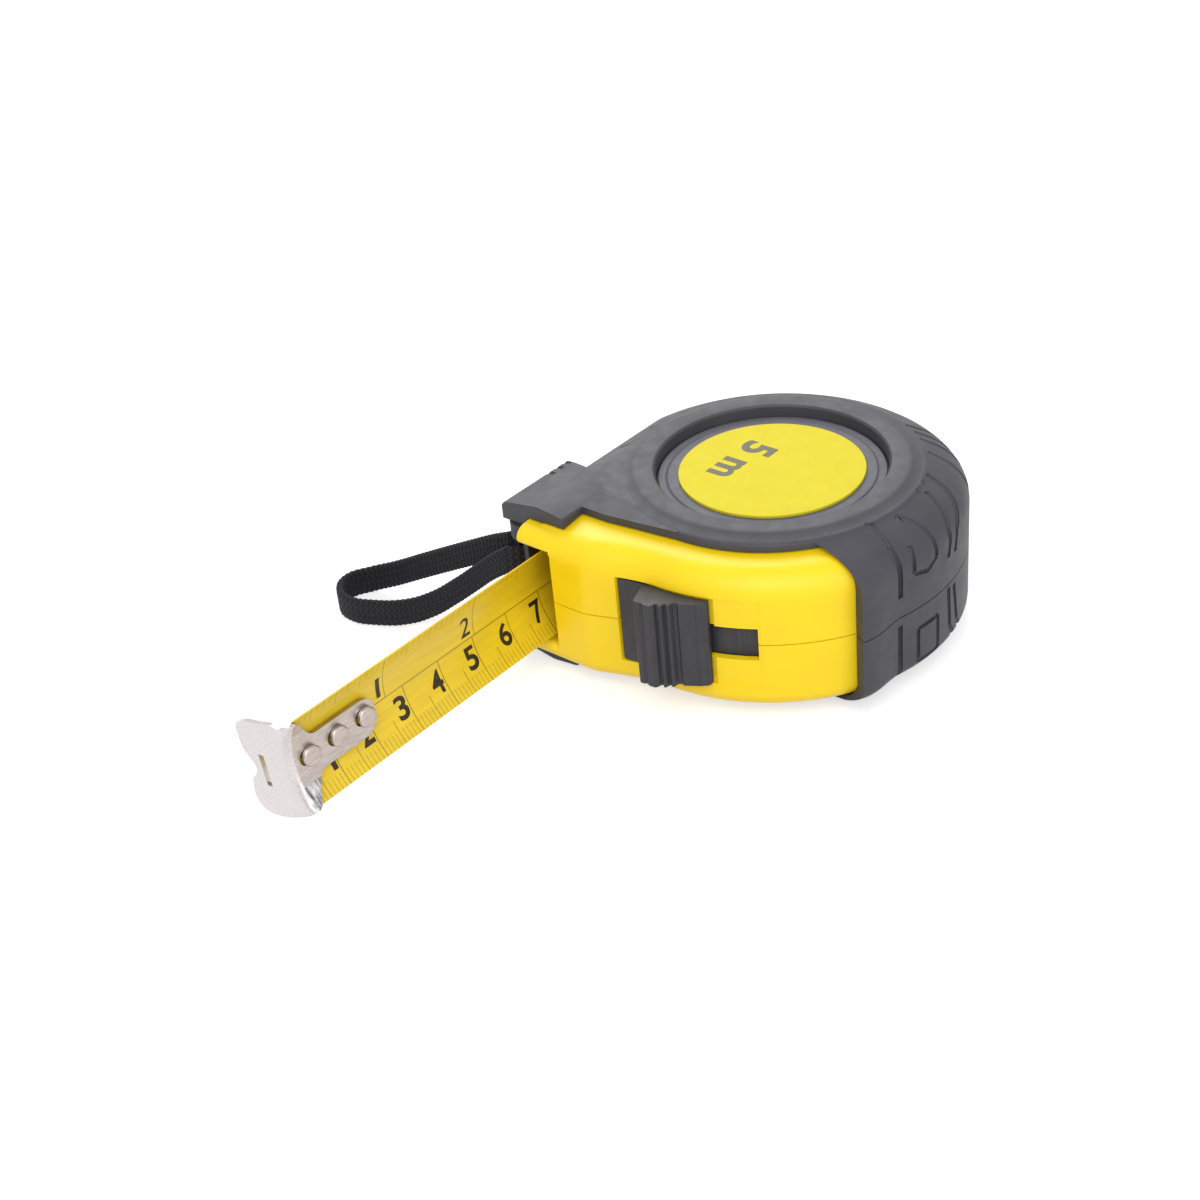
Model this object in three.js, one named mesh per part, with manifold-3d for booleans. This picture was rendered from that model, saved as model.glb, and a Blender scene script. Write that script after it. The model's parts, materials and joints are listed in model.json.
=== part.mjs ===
// Pocket tape measure lying on its side, blade drawn out a little over 67 mm.
// Millimetres. The spool axis is Z, the blade leaves the mouth along -X, the base faces +Y,
// and the case rests on its lower rubber ring. Heights are first taken from the mid-plane
// where the two halves part, and the whole assembly is raised at the end.
import * as THREE from 'three';
import { mergeVertices } from 'three/addons/utils/BufferGeometryUtils.js';
import Module from 'manifold-3d';

const wasm = await Module();
wasm.setup();

// Running and seating clearances
const seatGap = 0.3;
const partingGap = 0.3;
const overrun = 2;

// Case outline
const caseRadius = 40.3;
const caseThickness = 37.5;
const baseFlatDepth = 0.9;
const noseOverhang = 4.1;
const baseReach = caseRadius - baseFlatDepth;
const noseReach = caseRadius + noseOverhang;
const noseTop = 16.5;
const noseBlendControl = 11;
const noseBlendAngle = 183;
const armSetback = 7.3;
const armEnd = baseReach - armSetback;
const shellWall = 1.6;
const wallHalfHeight = 9.5;
const shoulderRadius = 6;
const lowerWallExtra = 2.5;
const domeRise = 0.4;
const domeInset = 9.3;
const cavityHalfHeight = 13.6;

// Rubber grip
const gripThickness = 2;
const ringSetback = 11.8;
const ringWidth = 4.1;
const ringFootWidth = 2.1;
const plateLedge = 1.4;
const ringOuterRadius = caseRadius - ringSetback;
const ringInnerRadius = ringOuterRadius - ringWidth;
const ringFootRadius = ringOuterRadius + ringFootWidth;
const plateRadius = ringFootRadius + plateLedge;
const plateEdgeRise = 2;
const crownLedge = 0.2;
const plateFlare = 2.2;
const plateShoulder = plateRadius + plateFlare;
const gripShoulder = 6.2;
const gripShoulderShares = [[0.4, 0.1], [0.78, 0.42], [1.05, 0.85]];
const gripStartAngle = 242;
const lipOverhangAngle = 3.6;
const lipRootInset = 1.1;
const ribHeight = 3.4;
const ribAngle = 15.6;
const grooveDepth = 1;
const grooveWidth = 1.1;
const grooveLength = 9.5;
const grooveMiddle = 6.6;
const grooveAngles = [253, 275.5, 280, 304, 314, 320, 327];

// Ear over the mouth corner
const mouthSetback = 15.8;
const mouthLip = baseReach - mouthSetback;
const earFrontSetback = 4.1;
const earLength = 13.5;
const earNearOverhang = 1;
const earFront = noseReach - earFrontSetback;
const earBack = earFront - earLength;
const earNear = mouthLip - earNearOverhang;
const earTop = 17.9;
const earLow = 14.2;
const earNearThickness = 1.4;
const earFarDrop = 4.7;
const earEdge = 0.9;

// Side cap and label disc in the ring
const capMargin = 0.7;
const capRadius = ringInnerRadius - capMargin;
const capThickness = 1;
const capSink = 1;
const labelMargin = 4.3;
const labelRadius = capRadius - labelMargin;
const labelThickness = 0.3;

// Mouth and foot block
const mouthHalfHeight = 11.1;
const footFrontSetback = 3.2;
const footLength = 13.2;
const footFront = noseReach - footFrontSetback;
const footBack = footFront - footLength;
const footHalfHeight = 12.9;
const strapWindowCentre = 5;
const strapWindowHeight = 8.4;
const strapWindowDepth = 6.6;
const strapWindowReach = 33.6;
const strapBarRadius = 1.2;
const strapBarInsetX = 2.9;
const strapBarInsetY = 2.9;
const strapBarSeat = 2.6;

// Blade and its coil
const bladeWidth = 18.9;
const bladeThickness = 0.3;
const bladeSag = 3.3;
const bladeOffset = 3.2;
const bladeReach = mouthLip + bladeOffset;
const bladeRoll = 7.6;
const bladeDrawn = 68;
const bladeTailReach = 2.2;
const zeroReach = noseReach + bladeDrawn;
const bladeTail = noseReach + bladeTailReach;
const bladeSteps = 12;
const runStraight = 22.4;
const runBendStart = noseReach - runStraight;
const coilBelowBlade = 2.6;
const coilBuild = 7.3;
const coilOuterRadius = bladeReach - coilBelowBlade;
const coilInnerRadius = coilOuterRadius - coilBuild;
const coilTurns = 9;
const coilStrip = 0.35;

// Spool
const coilDrumGap = 0.5;
const drumRadius = coilInnerRadius - coilDrumGap;
const drumWall = 1.4;
const drumBore = 3.4;
const drumHub = 5;
const flangeSetback = 1.7;
const flangeRadius = coilOuterRadius - flangeSetback;
const flangeThickness = 0.8;
const springInnerRadius = 5.9;
const springSetback = 2;
const springPitch = 1.2;
const springOuterRadius = drumRadius - springSetback;
const springTurns = Math.max(1, Math.round((springOuterRadius - springInnerRadius) / springPitch));
const springStrip = 0.4;
const postRadius = 3;

// End hook and its rivets
const hookThickness = 1;
const hookDrop = 15.9;
const hookHalfWidth = 9.5;
const hookFloat = 1;
const tongueLength = 22;
const tongueHalfWidth = 4.4;
const tongueFlare = 6.5;
const hookSlotWidth = 1.5;
const hookSlotHeight = 7;
const hookSlotReach = 9.9;
const hookSlotCentre = -2.5;
const flareRootShare = 0.12;
const hookDropShares = [
  -0.08, 0.15, 0.3, 0.87, 1, 0.98, 0.84, 0.82, 0.95, 0.93, 0.83, 0.4, 0.12, -0.08,
];
const hookWidthShares = [
  1, 0.91, 0.97, 0.79, 0.6, -0.08, -0.28, -0.38, -0.63, -1.16, -1.36, -1.28, -1.13, -1,
];
const rivetRadius = 1.3;
const rivetHeadRadius = 2.1;
const rivetHeadHeight = 0.8;
const rivetCrownShare = 0.8;
const rivetEdgeShare = 0.6;
const rivetPeen = 0.4;
const rivetFirst = 4.3;
const rivetPitch = 7.2;
const rivetCount = 3;

// Thumb lock, which slides on a curved track about the spool axis
const lockHalfHeight = 9.7;
const lockStart = 170;
const lockEnd = 197.5;
const lockTravel = 13;
const lockRecessDepth = 0.8;
const lockRecessPlay = 1.5;
const lockHeelRise = 1.3;
const lockCrestRise = 6.1;
const lockHeelRadius = caseRadius + lockHeelRise;
const lockCrest = caseRadius + lockCrestRise;
const lockSillHeight = 1.1;
const lockSillShare = 0.24;
const lockRiseShare = 0.31;
const lockCrestShare = 0.36;
const lockRibEndShare = 0.7;
const lockRibCount = 5;
const lockRibDepth = 1.05;
const lockRibTopShare = 0.45;
const lockRibValleyShare = 0.7;
const lockCrestChamfer = 1.2;
const lockNeckStart = 176;
const lockNeckEnd = 194;
const lockNeckHalfHeight = 3.3;
const lockSlotHalfHeight = 3.7;
const slideStart = 161;
const slideEnd = 211;
const slideHalfHeight = 5.2;
const slideThickness = 0.5;
const armInset = 3;
const armThickness = 1.6;
const armHalfHeight = 4.4;
const padHalfHeight = 3.4;
const padThickness = 2.6;
const padLength = 3;

// Case screws
const screwShank = 1.3;
const screwHead = 2.6;
const screwHeadHeight = 1.6;
const screwBoss = 3.4;
const screwReach = 8;
const screwSlotWidth = 0.7;
const screwSlotDepth = 0.8;
const noseScrewOffset = 2.2;
const frontScrewInset = 6.1;
const rearScrewInset = 8.7;
const noseScrewRadius = caseRadius + noseScrewOffset;
const frontScrewRadius = caseRadius - frontScrewInset;
const rearScrewRadius = caseRadius - rearScrewInset;
const screwPlaces = [
  [noseScrewRadius, 155.8], [frontScrewRadius, 222], [rearScrewRadius, 315], [rearScrewRadius, 30],
];

// Wrist strap, a flat braid laid out to the resting surface
const strapWidth = 6.4;
const strapThickness = 1.5;
// Each point as its offset from the pin along X and Y, and its height above the resting surface
const strapOffsets = [
  [-4, 1.1, 23.35], [-4.2, 5.5, 20.35], [-4.6, 10.5, 16.15], [-5.8, 16.5, 11.15],
  [-7.6, 22.5, 6.75], [-10.1, 28.9, 3.85], [-13.3, 34.9, 3.35], [-15.2, 40.9, 3.35],
  [-13.4, 46.1, 3.35], [-8.7, 48.1, 3.35], [-4.1, 45.9, 3.35], [-1.3, 40.1, 5.35], [0, 32.5, 9.15],
  [0.5, 24.5, 13.35], [0.7, 16.5, 17.55], [0.8, 9.5, 21.15], [0.9, 4.5, 23.35],
];

const shellTop = wallHalfHeight + shoulderRadius + domeRise;
const coreRearRadius = caseRadius - gripThickness - seatGap;
const coreBase = baseReach - gripThickness - seatGap;
const restHalf = caseThickness / 2;
const strapRoute = strapOffsets.map(([x, y, height]) => [
  strapBarInsetX - footFront + x, baseReach - strapBarInsetY + y, height - restHalf,
]);
const arcStep = 7.5;
const screwSides = 16;

const radians = THREE.MathUtils.degToRad;

function polar(radius, angle) {
  return [radius * Math.cos(radians(angle)), radius * Math.sin(radians(angle))];
}

function arc(radius, from, to, step = arcStep) {
  const count = Math.max(1, Math.round(Math.abs(to - from) / step));
  return Array.from({ length: count + 1 }, (_, i) => polar(radius, from + ((to - from) * i) / count));
}

// Angle at which the round rear runs into the flat base.
function rearMeet(base, radius) {
  return THREE.MathUtils.radToDeg(Math.asin(Math.min(1, base / radius)));
}

const rearSteps = Math.round((360 + rearMeet(baseReach, caseRadius) - gripStartAngle) / arcStep);
const lipAngle = gripStartAngle - lipOverhangAngle;

// Outline of the yellow case halves, drawn in by an inset. Every inset gives the same number
// of points, so outlines at different heights can be joined into one wall.
function coreOutline(inset) {
  const front = caseRadius - inset;
  const rear = coreRearRadius - inset;
  const base = coreBase - inset;
  const nose = noseReach - inset;
  const meet = rearMeet(base, rear);
  const blendEnd = polar(front, noseBlendAngle);
  const blend = new THREE.QuadraticBezierCurve(
    new THREE.Vector2(-nose, noseTop),
    new THREE.Vector2(-front, noseBlendControl),
    new THREE.Vector2(...blendEnd),
  );
  const blendPoints = blend.getPoints(6).map((p) => [p.x, p.y]);
  const rearPoints = Array.from({ length: rearSteps + 1 }, (_, i) =>
    polar(rear, gripStartAngle + ((360 + meet - gripStartAngle) * i) / rearSteps));
  return [
    [-footBack + seatGap + inset, base],
    [-footBack + seatGap + inset, armEnd - inset],
    [-nose, armEnd - inset],
    ...blendPoints,
    ...arc(front, noseBlendAngle, gripStartAngle).slice(1),
    ...rearPoints,
  ];
}

// Outline of the rubber: round at the rear, flat at the base, with a raised rib
// along the edge that meets the yellow front.
function gripOutline(inset) {
  const radius = caseRadius - inset;
  const base = baseReach - inset;
  const meet = rearMeet(base, radius);
  const ribSteps = 3;
  const fromRib = lipAngle + ribAngle;
  const angles = [
    ...Array.from({ length: ribSteps }, (_, i) => lipAngle + (ribAngle * i) / ribSteps),
    ...Array.from({ length: rearSteps + 1 }, (_, i) => fromRib + ((360 + meet - fromRib) * i) / rearSteps),
  ];
  const round = angles.map((angle) => {
    const share = Math.max(0, 1 - (angle - lipAngle) / ribAngle);
    return polar(radius + ribHeight * share * share * (3 - 2 * share), angle);
  });
  return [[-footBack, base], [-footBack, 0], polar(ringFootRadius - lipRootInset, lipAngle), ...round];
}

// A closed wall through outlines at rising heights, with flat ends.
function stack(outline, levels) {
  const rings = levels.map(([height, inset]) => outline(inset).map(([x, y]) => [x, y, height]));
  const size = rings[0].length;
  const positions = rings.flat(2);
  const indices = [];
  for (let level = 0; level + 1 < rings.length; level += 1) {
    for (let i = 0; i < size; i += 1) {
      const a = level * size + i;
      const b = level * size + ((i + 1) % size);
      indices.push(a, b, b + size, a, b + size, a + size);
    }
  }
  const flat = (ring) => {
    const outlinePoints = ring.map(([x, y]) => new THREE.Vector2(x, y));
    return THREE.ShapeUtils.triangulateShape(outlinePoints, []);
  };
  flat(rings[0]).forEach(([a, b, c]) => indices.push(c, b, a));
  const last = (rings.length - 1) * size;
  flat(rings[rings.length - 1]).forEach(([a, b, c]) => indices.push(last + a, last + b, last + c));
  const geometry = new THREE.BufferGeometry();
  geometry.setAttribute('position', new THREE.Float32BufferAttribute(positions, 3));
  geometry.setIndex(indices);
  return geometry;
}

function toSolid(geometry) {
  const bare = geometry.clone();
  bare.deleteAttribute('normal');
  bare.deleteAttribute('uv');
  const merged = mergeVertices(bare, 1e-4);
  return new wasm.Manifold(new wasm.Mesh({
    numProp: 3,
    vertProperties: new Float32Array(merged.attributes.position.array),
    triVerts: new Uint32Array(merged.index.array),
  }));
}

function toGeometry(solid) {
  const mesh = solid.getMesh();
  const geometry = new THREE.BufferGeometry();
  geometry.setAttribute('position', new THREE.BufferAttribute(new Float32Array(mesh.vertProperties), 3));
  geometry.setIndex(new THREE.BufferAttribute(new Uint32Array(mesh.triVerts), 1));
  geometry.computeVertexNormals();
  return geometry;
}

function subtract(solid, ...cutters) {
  return cutters.reduce((rest, cutter) => rest.subtract(toSolid(cutter)), solid);
}

function unite(solid, ...pieces) {
  return pieces.reduce((whole, piece) => whole.add(toSolid(piece)), solid);
}

function prism(points, bottom, top) {
  const shape = new THREE.Shape(points.map(([x, y]) => new THREE.Vector2(x, y)));
  const geometry = new THREE.ExtrudeGeometry(shape, { depth: top - bottom, bevelEnabled: false });
  geometry.translate(0, 0, bottom);
  return geometry;
}

// Turns a prism whose outline is in y and z so that it runs along x.
const alongX = new THREE.Matrix4().makeBasis(
  new THREE.Vector3(0, 1, 0), new THREE.Vector3(0, 0, 1), new THREE.Vector3(1, 0, 0));

function box(xMin, xMax, yMin, yMax, zMin, zMax) {
  const geometry = new THREE.BoxGeometry(xMax - xMin, yMax - yMin, zMax - zMin);
  geometry.translate((xMin + xMax) / 2, (yMin + yMax) / 2, (zMin + zMax) / 2);
  return geometry;
}

// Upright cylinder or cone between two heights, its axis at x, y.
function rod(lowerRadius, upperRadius, bottom, top, x = 0, y = 0, sides = 32) {
  const geometry = new THREE.CylinderGeometry(upperRadius, lowerRadius, top - bottom, sides);
  geometry.rotateX(Math.PI / 2);
  geometry.translate(x, y, (bottom + top) / 2);
  return geometry;
}

// Part of a ring about the spool axis.
function ringSector(inner, outer, from, to, bottom, top, step = 3) {
  const points = [...arc(outer, from, to, step), ...arc(inner, to, from, step)];
  return prism(points, bottom, top);
}

// Flat strip wound about Z from the inner to the outer radius as one unbroken tube.
function windStrip(inner, outer, turns, strip, halfWidth, stepsPerTurn) {
  const steps = turns * stepsPerTurn;
  const points = [];
  for (let i = 0; i <= steps; i += 1) {
    const radius = inner + strip / 2 + ((outer - inner - strip) * i) / steps;
    const [x, y] = polar(1, (360 * i) / stepsPerTurn);
    points.push([x, y, radius]);
  }
  const outerSide = points.map(([x, y, r]) => [x * (r + strip / 2), y * (r + strip / 2)]);
  const innerSide = points.map(([x, y, r]) => [x * (r - strip / 2), y * (r - strip / 2)]).reverse();
  const gap = (outer - inner - strip) / turns - strip;
  console.log(`winding: ${turns} turns, least gap to itself ${gap.toFixed(2)} mm`);
  return prism([...outerSide, ...innerSide], -halfWidth, halfWidth);
}

const materials = {
  yellow: new THREE.MeshStandardMaterial({ color: '#fcd116', roughness: 0.42, metalness: 0 }),
  rubber: new THREE.MeshStandardMaterial({ color: '#55535c', roughness: 0.72, metalness: 0 }),
  black: new THREE.MeshStandardMaterial({ color: '#3a3a41', roughness: 0.55, metalness: 0 }),
  label: new THREE.MeshStandardMaterial({ color: '#f5e94f', roughness: 0.35, metalness: 0 }),
  blade: new THREE.MeshStandardMaterial({ color: '#e3bd22', roughness: 0.38, metalness: 0.1 }),
  steel: new THREE.MeshStandardMaterial({ color: '#dcd6d8', roughness: 0.25, metalness: 1 }),
  spring: new THREE.MeshStandardMaterial({ color: '#5c6670', roughness: 0.35, metalness: 1 }),
  white: new THREE.MeshStandardMaterial({ color: '#dedcd4', roughness: 0.5, metalness: 0 }),
  braid: new THREE.MeshStandardMaterial({ color: '#22222a', roughness: 0.9, metalness: 0 }),
};

function named(name, geometry, material) {
  const mesh = new THREE.Mesh(geometry, material);
  mesh.name = name;
  return mesh;
}

// Rounded shoulder from the upright wall to the domed side, as pairs of height and inset.
// The lower half keeps its wall upright for longer, and its shoulder is the tighter one.
function shoulderLevels(offset, wallExtra) {
  const steps = 4;
  const radius = shoulderRadius - wallExtra;
  const curve = Array.from({ length: steps + 1 }, (_, i) => {
    const turn = (Math.PI / 2) * (i / steps);
    return [
      wallHalfHeight + wallExtra + radius * Math.sin(turn) - offset,
      radius * (1 - Math.cos(turn)) + offset,
    ];
  });
  return [...curve, [shellTop - offset, domeInset + offset]];
}

function screwPlace(index) {
  return polar(...screwPlaces[index]);
}

// Upper half of the yellow case. The lower half is its mirror image with screw holes.
function shellHalf(lower) {
  const parting = partingGap / 2;
  const wallExtra = lower ? lowerWallExtra : 0;
  const outer = toSolid(stack(coreOutline, [[parting, 0], ...shoulderLevels(0, wallExtra)]));
  const hollow = toSolid(stack(coreOutline, [
    [-overrun, shellWall],
    [cavityHalfHeight - shoulderRadius, shellWall],
    [cavityHalfHeight - shoulderRadius / 2, shellWall + shoulderRadius / 6],
    [cavityHalfHeight, shoulderRadius],
  ]));
  let half = outer.subtract(hollow);
  const bosses = screwPlaces.map((_, i) => rod(screwBoss, screwBoss, parting, cavityHalfHeight + seatGap,
    ...screwPlace(i), screwSides));
  half = unite(half, ...bosses);
  half = subtract(
    half,
    box(-noseReach - overrun, -footBack, mouthLip, armEnd + overrun, -overrun, mouthHalfHeight),
    box(-footBack - overrun, -footBack + shellWall + seatGap * 2, mouthLip, armEnd + seatGap, -overrun,
      mouthHalfHeight),
    rod(capRadius + seatGap, capRadius + seatGap, shellTop - capSink, shellTop + overrun, 0, 0, 48),
    ringSector(caseRadius - lockRecessDepth, noseReach + overrun, lockStart - lockRecessPlay,
      lockEnd + lockTravel + lockRecessPlay, -overrun, lockHalfHeight + seatGap),
    ringSector(coreRearRadius - overrun, noseReach, lockNeckStart - lockRecessPlay,
      lockNeckEnd + lockTravel + lockRecessPlay, -overrun, lockSlotHalfHeight),
  );
  const socket = rod(postRadius + shellWall, postRadius + shellWall, cavityHalfHeight - shellWall,
    cavityHalfHeight + seatGap, 0, 0, 24);
  half = unite(half, socket);
  half = subtract(half, rod(postRadius + seatGap, postRadius + seatGap, 0, cavityHalfHeight, 0, 0, 24));
  for (let i = 0; i < screwPlaces.length; i += 1) {
    const bore = screwShank + seatGap;
    const depth = lower ? shellTop + overrun : screwReach + seatGap;
    half = subtract(half, rod(bore, bore, -overrun, depth, ...screwPlace(i), 12));
    if (lower) {
      const well = screwHead + seatGap;
      half = subtract(half, rod(well, well, cavityHalfHeight, shellTop + overrun, ...screwPlace(i),
        screwSides));
    }
  }
  return lower ? half.mirror([0, 0, 1]) : half;
}

// Rubber half: ring and plate over the side, skin round the rear, and the ear at the mouth.
function gripHalf(lower) {
  const parting = partingGap / 2;
  const ringTop = restHalf;
  const plateTop = shellTop + plateEdgeRise;
  const wallExtra = lower ? lowerWallExtra : 0;
  const wallTop = wallHalfHeight + wallExtra;
  const shoulder = gripShoulder - wallExtra;
  const levels = [
    [parting, 0], [wallTop, 0],
    ...gripShoulderShares.map(([rise, inset]) => [wallTop + shoulder * rise, shoulder * inset]),
    [plateTop, caseRadius - ringFootRadius - crownLedge * 2],
  ];
  const rear = toSolid(stack(gripOutline, levels));
  const plate = toSolid(stack(
    (inset) => arc(plateRadius - inset, 0, 360, arcStep).slice(1),
    [[parting, 0], [plateTop - crownLedge * 2, 0], [plateTop, plateRadius - ringFootRadius - crownLedge]],
  ));
  const crown = toSolid(stack(
    (inset) => arc(ringFootRadius - inset, 0, 360, arcStep).slice(1),
    [[shellTop, 0], [plateTop, 0], [ringTop, ringFootRadius - ringOuterRadius]],
  ));
  const corner = prism([
    [0, 0], [-plateRadius, 0], [-plateShoulder, noseTop], [-plateShoulder, earNear + overrun],
    [-earBack, earNear + overrun], [-earBack, ringOuterRadius], [0, ringOuterRadius],
  ], parting, plateTop - seatGap);
  const ear = prism([
    [earNear, earLow], [earNear, shellTop + earNearThickness], [(earNear + baseReach) / 2, earTop],
    [baseReach - earEdge, earTop], [baseReach, earTop - earEdge], [baseReach, earTop - earFarDrop],
    [armEnd + seatGap, earTop - earFarDrop],
  ], -earFront, -earBack);
  ear.applyMatrix4(alongX);
  const clearance = toSolid(stack(coreOutline, [[-overrun, -seatGap],
    ...shoulderLevels(0, wallExtra).map(([height, inset]) => [height + seatGap, inset - seatGap])]));
  let half = rear.add(plate).add(crown).add(toSolid(corner)).add(toSolid(ear)).subtract(clearance);
  half = subtract(
    half,
    rod(capRadius + seatGap, ringInnerRadius, 0, ringTop, 0, 0, 48),
    rod(ringInnerRadius, ringInnerRadius, ringTop, ringTop + overrun, 0, 0, 48),
    box(-footFront - overrun, -footBack + seatGap, armEnd, baseReach + overrun, -overrun,
      footHalfHeight + seatGap),
    box(-noseReach - overrun, -footBack + seatGap, -overrun, armEnd, -overrun, shellTop - overrun),
  );
  grooveAngles.forEach((angle) => {
    const groove = box(caseRadius - grooveDepth, caseRadius + overrun + ribHeight, -grooveWidth / 2,
      grooveWidth / 2, grooveMiddle - grooveLength / 2, grooveMiddle + grooveLength / 2);
    groove.rotateZ(radians(angle));
    half = subtract(half, groove);
  });
  if (lower) {
    for (let i = 2; i < screwPlaces.length; i += 1) {
      const well = screwHead + seatGap;
      half = subtract(half, rod(well, well, 0, restHalf + overrun, ...screwPlace(i), screwSides));
    }
    return half.mirror([0, 0, 1]);
  }
  return half;
}

// Black foot under the mouth, with the corner window that the strap passes through.
function footBlock() {
  const block = toSolid(box(-footFront, -footBack, armEnd + seatGap, baseReach, -footHalfHeight,
    footHalfHeight));
  const low = strapWindowCentre - strapWindowHeight / 2;
  const high = strapWindowCentre + strapWindowHeight / 2;
  const window = box(-footFront - overrun, -footFront + strapWindowDepth, strapWindowReach,
    baseReach + overrun, low, high);
  const bore = strapBarRadius + seatGap;
  const barHole = rod(bore, bore, low - strapBarSeat - seatGap, high + strapBarSeat + seatGap,
    -footFront + strapBarInsetX, baseReach - strapBarInsetY, 16);
  return toGeometry(subtract(block, window, barHole));
}

function strapBar() {
  const low = strapWindowCentre - strapWindowHeight / 2 - strapBarSeat;
  const high = strapWindowCentre + strapWindowHeight / 2 + strapBarSeat;
  return rod(strapBarRadius, strapBarRadius, low, high, -footFront + strapBarInsetX,
    baseReach - strapBarInsetY, 16);
}

// Flat braid along its route, its width upright all the way.
function wristStrap() {
  const curve = new THREE.CatmullRomCurve3(strapRoute.map((p) => new THREE.Vector3(...p)));
  const steps = 40;
  const corners = [[-1, -1], [1, -1], [1, 1], [-1, 1]];
  const positions = [];
  for (let i = 0; i <= steps; i += 1) {
    const at = curve.getPointAt(i / steps);
    const along = curve.getTangentAt(i / steps);
    const side = new THREE.Vector3(along.y, -along.x, 0).normalize().multiplyScalar(strapThickness / 2);
    corners.forEach(([across, up]) => {
      positions.push(at.x + side.x * across, at.y + side.y * across, at.z + (up * strapWidth) / 2);
    });
  }
  const indices = [0, 1, 2, 0, 2, 3];
  for (let i = 0; i < steps; i += 1) {
    for (let k = 0; k < 4; k += 1) {
      const a = i * 4 + k;
      const b = i * 4 + ((k + 1) % 4);
      indices.push(a, a + 4, b + 4, a, b + 4, b);
    }
  }
  const end = steps * 4;
  indices.push(end, end + 2, end + 1, end, end + 3, end + 2);
  const geometry = new THREE.BufferGeometry();
  geometry.setAttribute('position', new THREE.Float32BufferAttribute(positions, 3));
  geometry.setIndex(indices);
  return geometry;
}

// Cross-section of the blade: points on its hollow, printed face and on its back.
function bladeSection(sag, thickness) {
  const across = Array.from({ length: bladeSteps + 1 }, (_, i) => (2 * i) / bladeSteps - 1);
  const face = across.map((s) => [sag * (1 - s * s), (s * bladeWidth) / 2]);
  const back = across.map((s) => [sag * (1 - s * s) + thickness, (s * bladeWidth) / 2]).reverse();
  return [...face, ...back];
}

// Lofts blade sections between stations of [x, shift towards the coil, sag].
function bladeLoft(stations) {
  const rings = stations.map(([x, shift, sag]) => bladeSection(sag, bladeThickness)
    .map(([y, z]) => [x, y - shift, z]));
  const size = rings[0].length;
  const indices = [];
  for (let k = 0; k + 1 < rings.length; k += 1) {
    for (let i = 0; i < size; i += 1) {
      const a = k * size + i;
      const b = k * size + ((i + 1) % size);
      indices.push(a, b + size, b, a, a + size, b + size);
    }
  }
  const last = (rings.length - 1) * size;
  for (let i = 0; i < bladeSteps; i += 1) {
    const far = size - 1 - i;
    indices.push(i, i + 1, far - 1, i, far - 1, far);
    indices.push(last + i, last + far - 1, last + i + 1, last + i, last + far, last + far - 1);
  }
  const geometry = new THREE.BufferGeometry();
  geometry.setAttribute('position', new THREE.Float32BufferAttribute(rings.flat(2), 3));
  geometry.setIndex(indices);
  return geometry;
}

// Everything on the blade's own axes: x along the case, y away from the printed face,
// z across the width, with the group rolled about x as the drawn-out blade leans.
const bladeGroup = new THREE.Group();
bladeGroup.position.set(0, bladeReach, 0);
bladeGroup.rotation.x = -radians(bladeRoll);

const bladeFront = -zeroReach + hookFloat + seatGap;

function rivetX(index) {
  return -zeroReach + rivetFirst + rivetPitch * index;
}

function bladeStrip() {
  const strip = toSolid(bladeLoft([[bladeFront, 0, bladeSag], [-bladeTail, 0, bladeSag]]));
  const holes = Array.from({ length: rivetCount }, (_, i) => {
    const hole = rod(rivetRadius + seatGap, rivetRadius + seatGap, -overrun, overrun * 3, 0, 0, 16);
    hole.rotateX(-Math.PI / 2);
    hole.translate(rivetX(i), 0, 0);
    return hole;
  });
  return toGeometry(subtract(strip, ...holes));
}

// The stretch between the coil and the mouth, flattening as it meets the coil.
function bladeRun() {
  const steps = 5;
  const drop = bladeReach - coilOuterRadius - seatGap - bladeThickness;
  const bend = Array.from({ length: steps }, (_, i) => {
    const share = (i + 1) / steps;
    const ease = share * share * (3 - 2 * share);
    return [-runBendStart * (1 - share), drop * ease, bladeSag * (1 - ease)];
  });
  return bladeLoft([[-bladeTail + seatGap, 0, bladeSag], [-runBendStart, 0, bladeSag], ...bend]);
}

// Rivet through tongue, blade and its peened back.
function rivet(index) {
  const face = bladeSag - hookThickness - seatGap * 2;
  const back = bladeSag + bladeThickness + seatGap;
  const crown = rivetHeadRadius * rivetCrownShare;
  const profile = [
    [0, -face + rivetHeadHeight], [crown, -face + rivetHeadHeight],
    [rivetHeadRadius, -face + rivetHeadHeight * rivetEdgeShare], [rivetHeadRadius, -face],
    [rivetRadius, -face], [rivetRadius, -back], [crown, -back], [rivetRadius, -back - rivetPeen],
    [0, -back - rivetPeen],
  ].reverse().map(([r, h]) => new THREE.Vector2(r, h));
  const geometry = new THREE.LatheGeometry(profile, 12);
  geometry.rotateX(Math.PI);
  geometry.translate(rivetX(index), 0, 0);
  return geometry;
}

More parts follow.
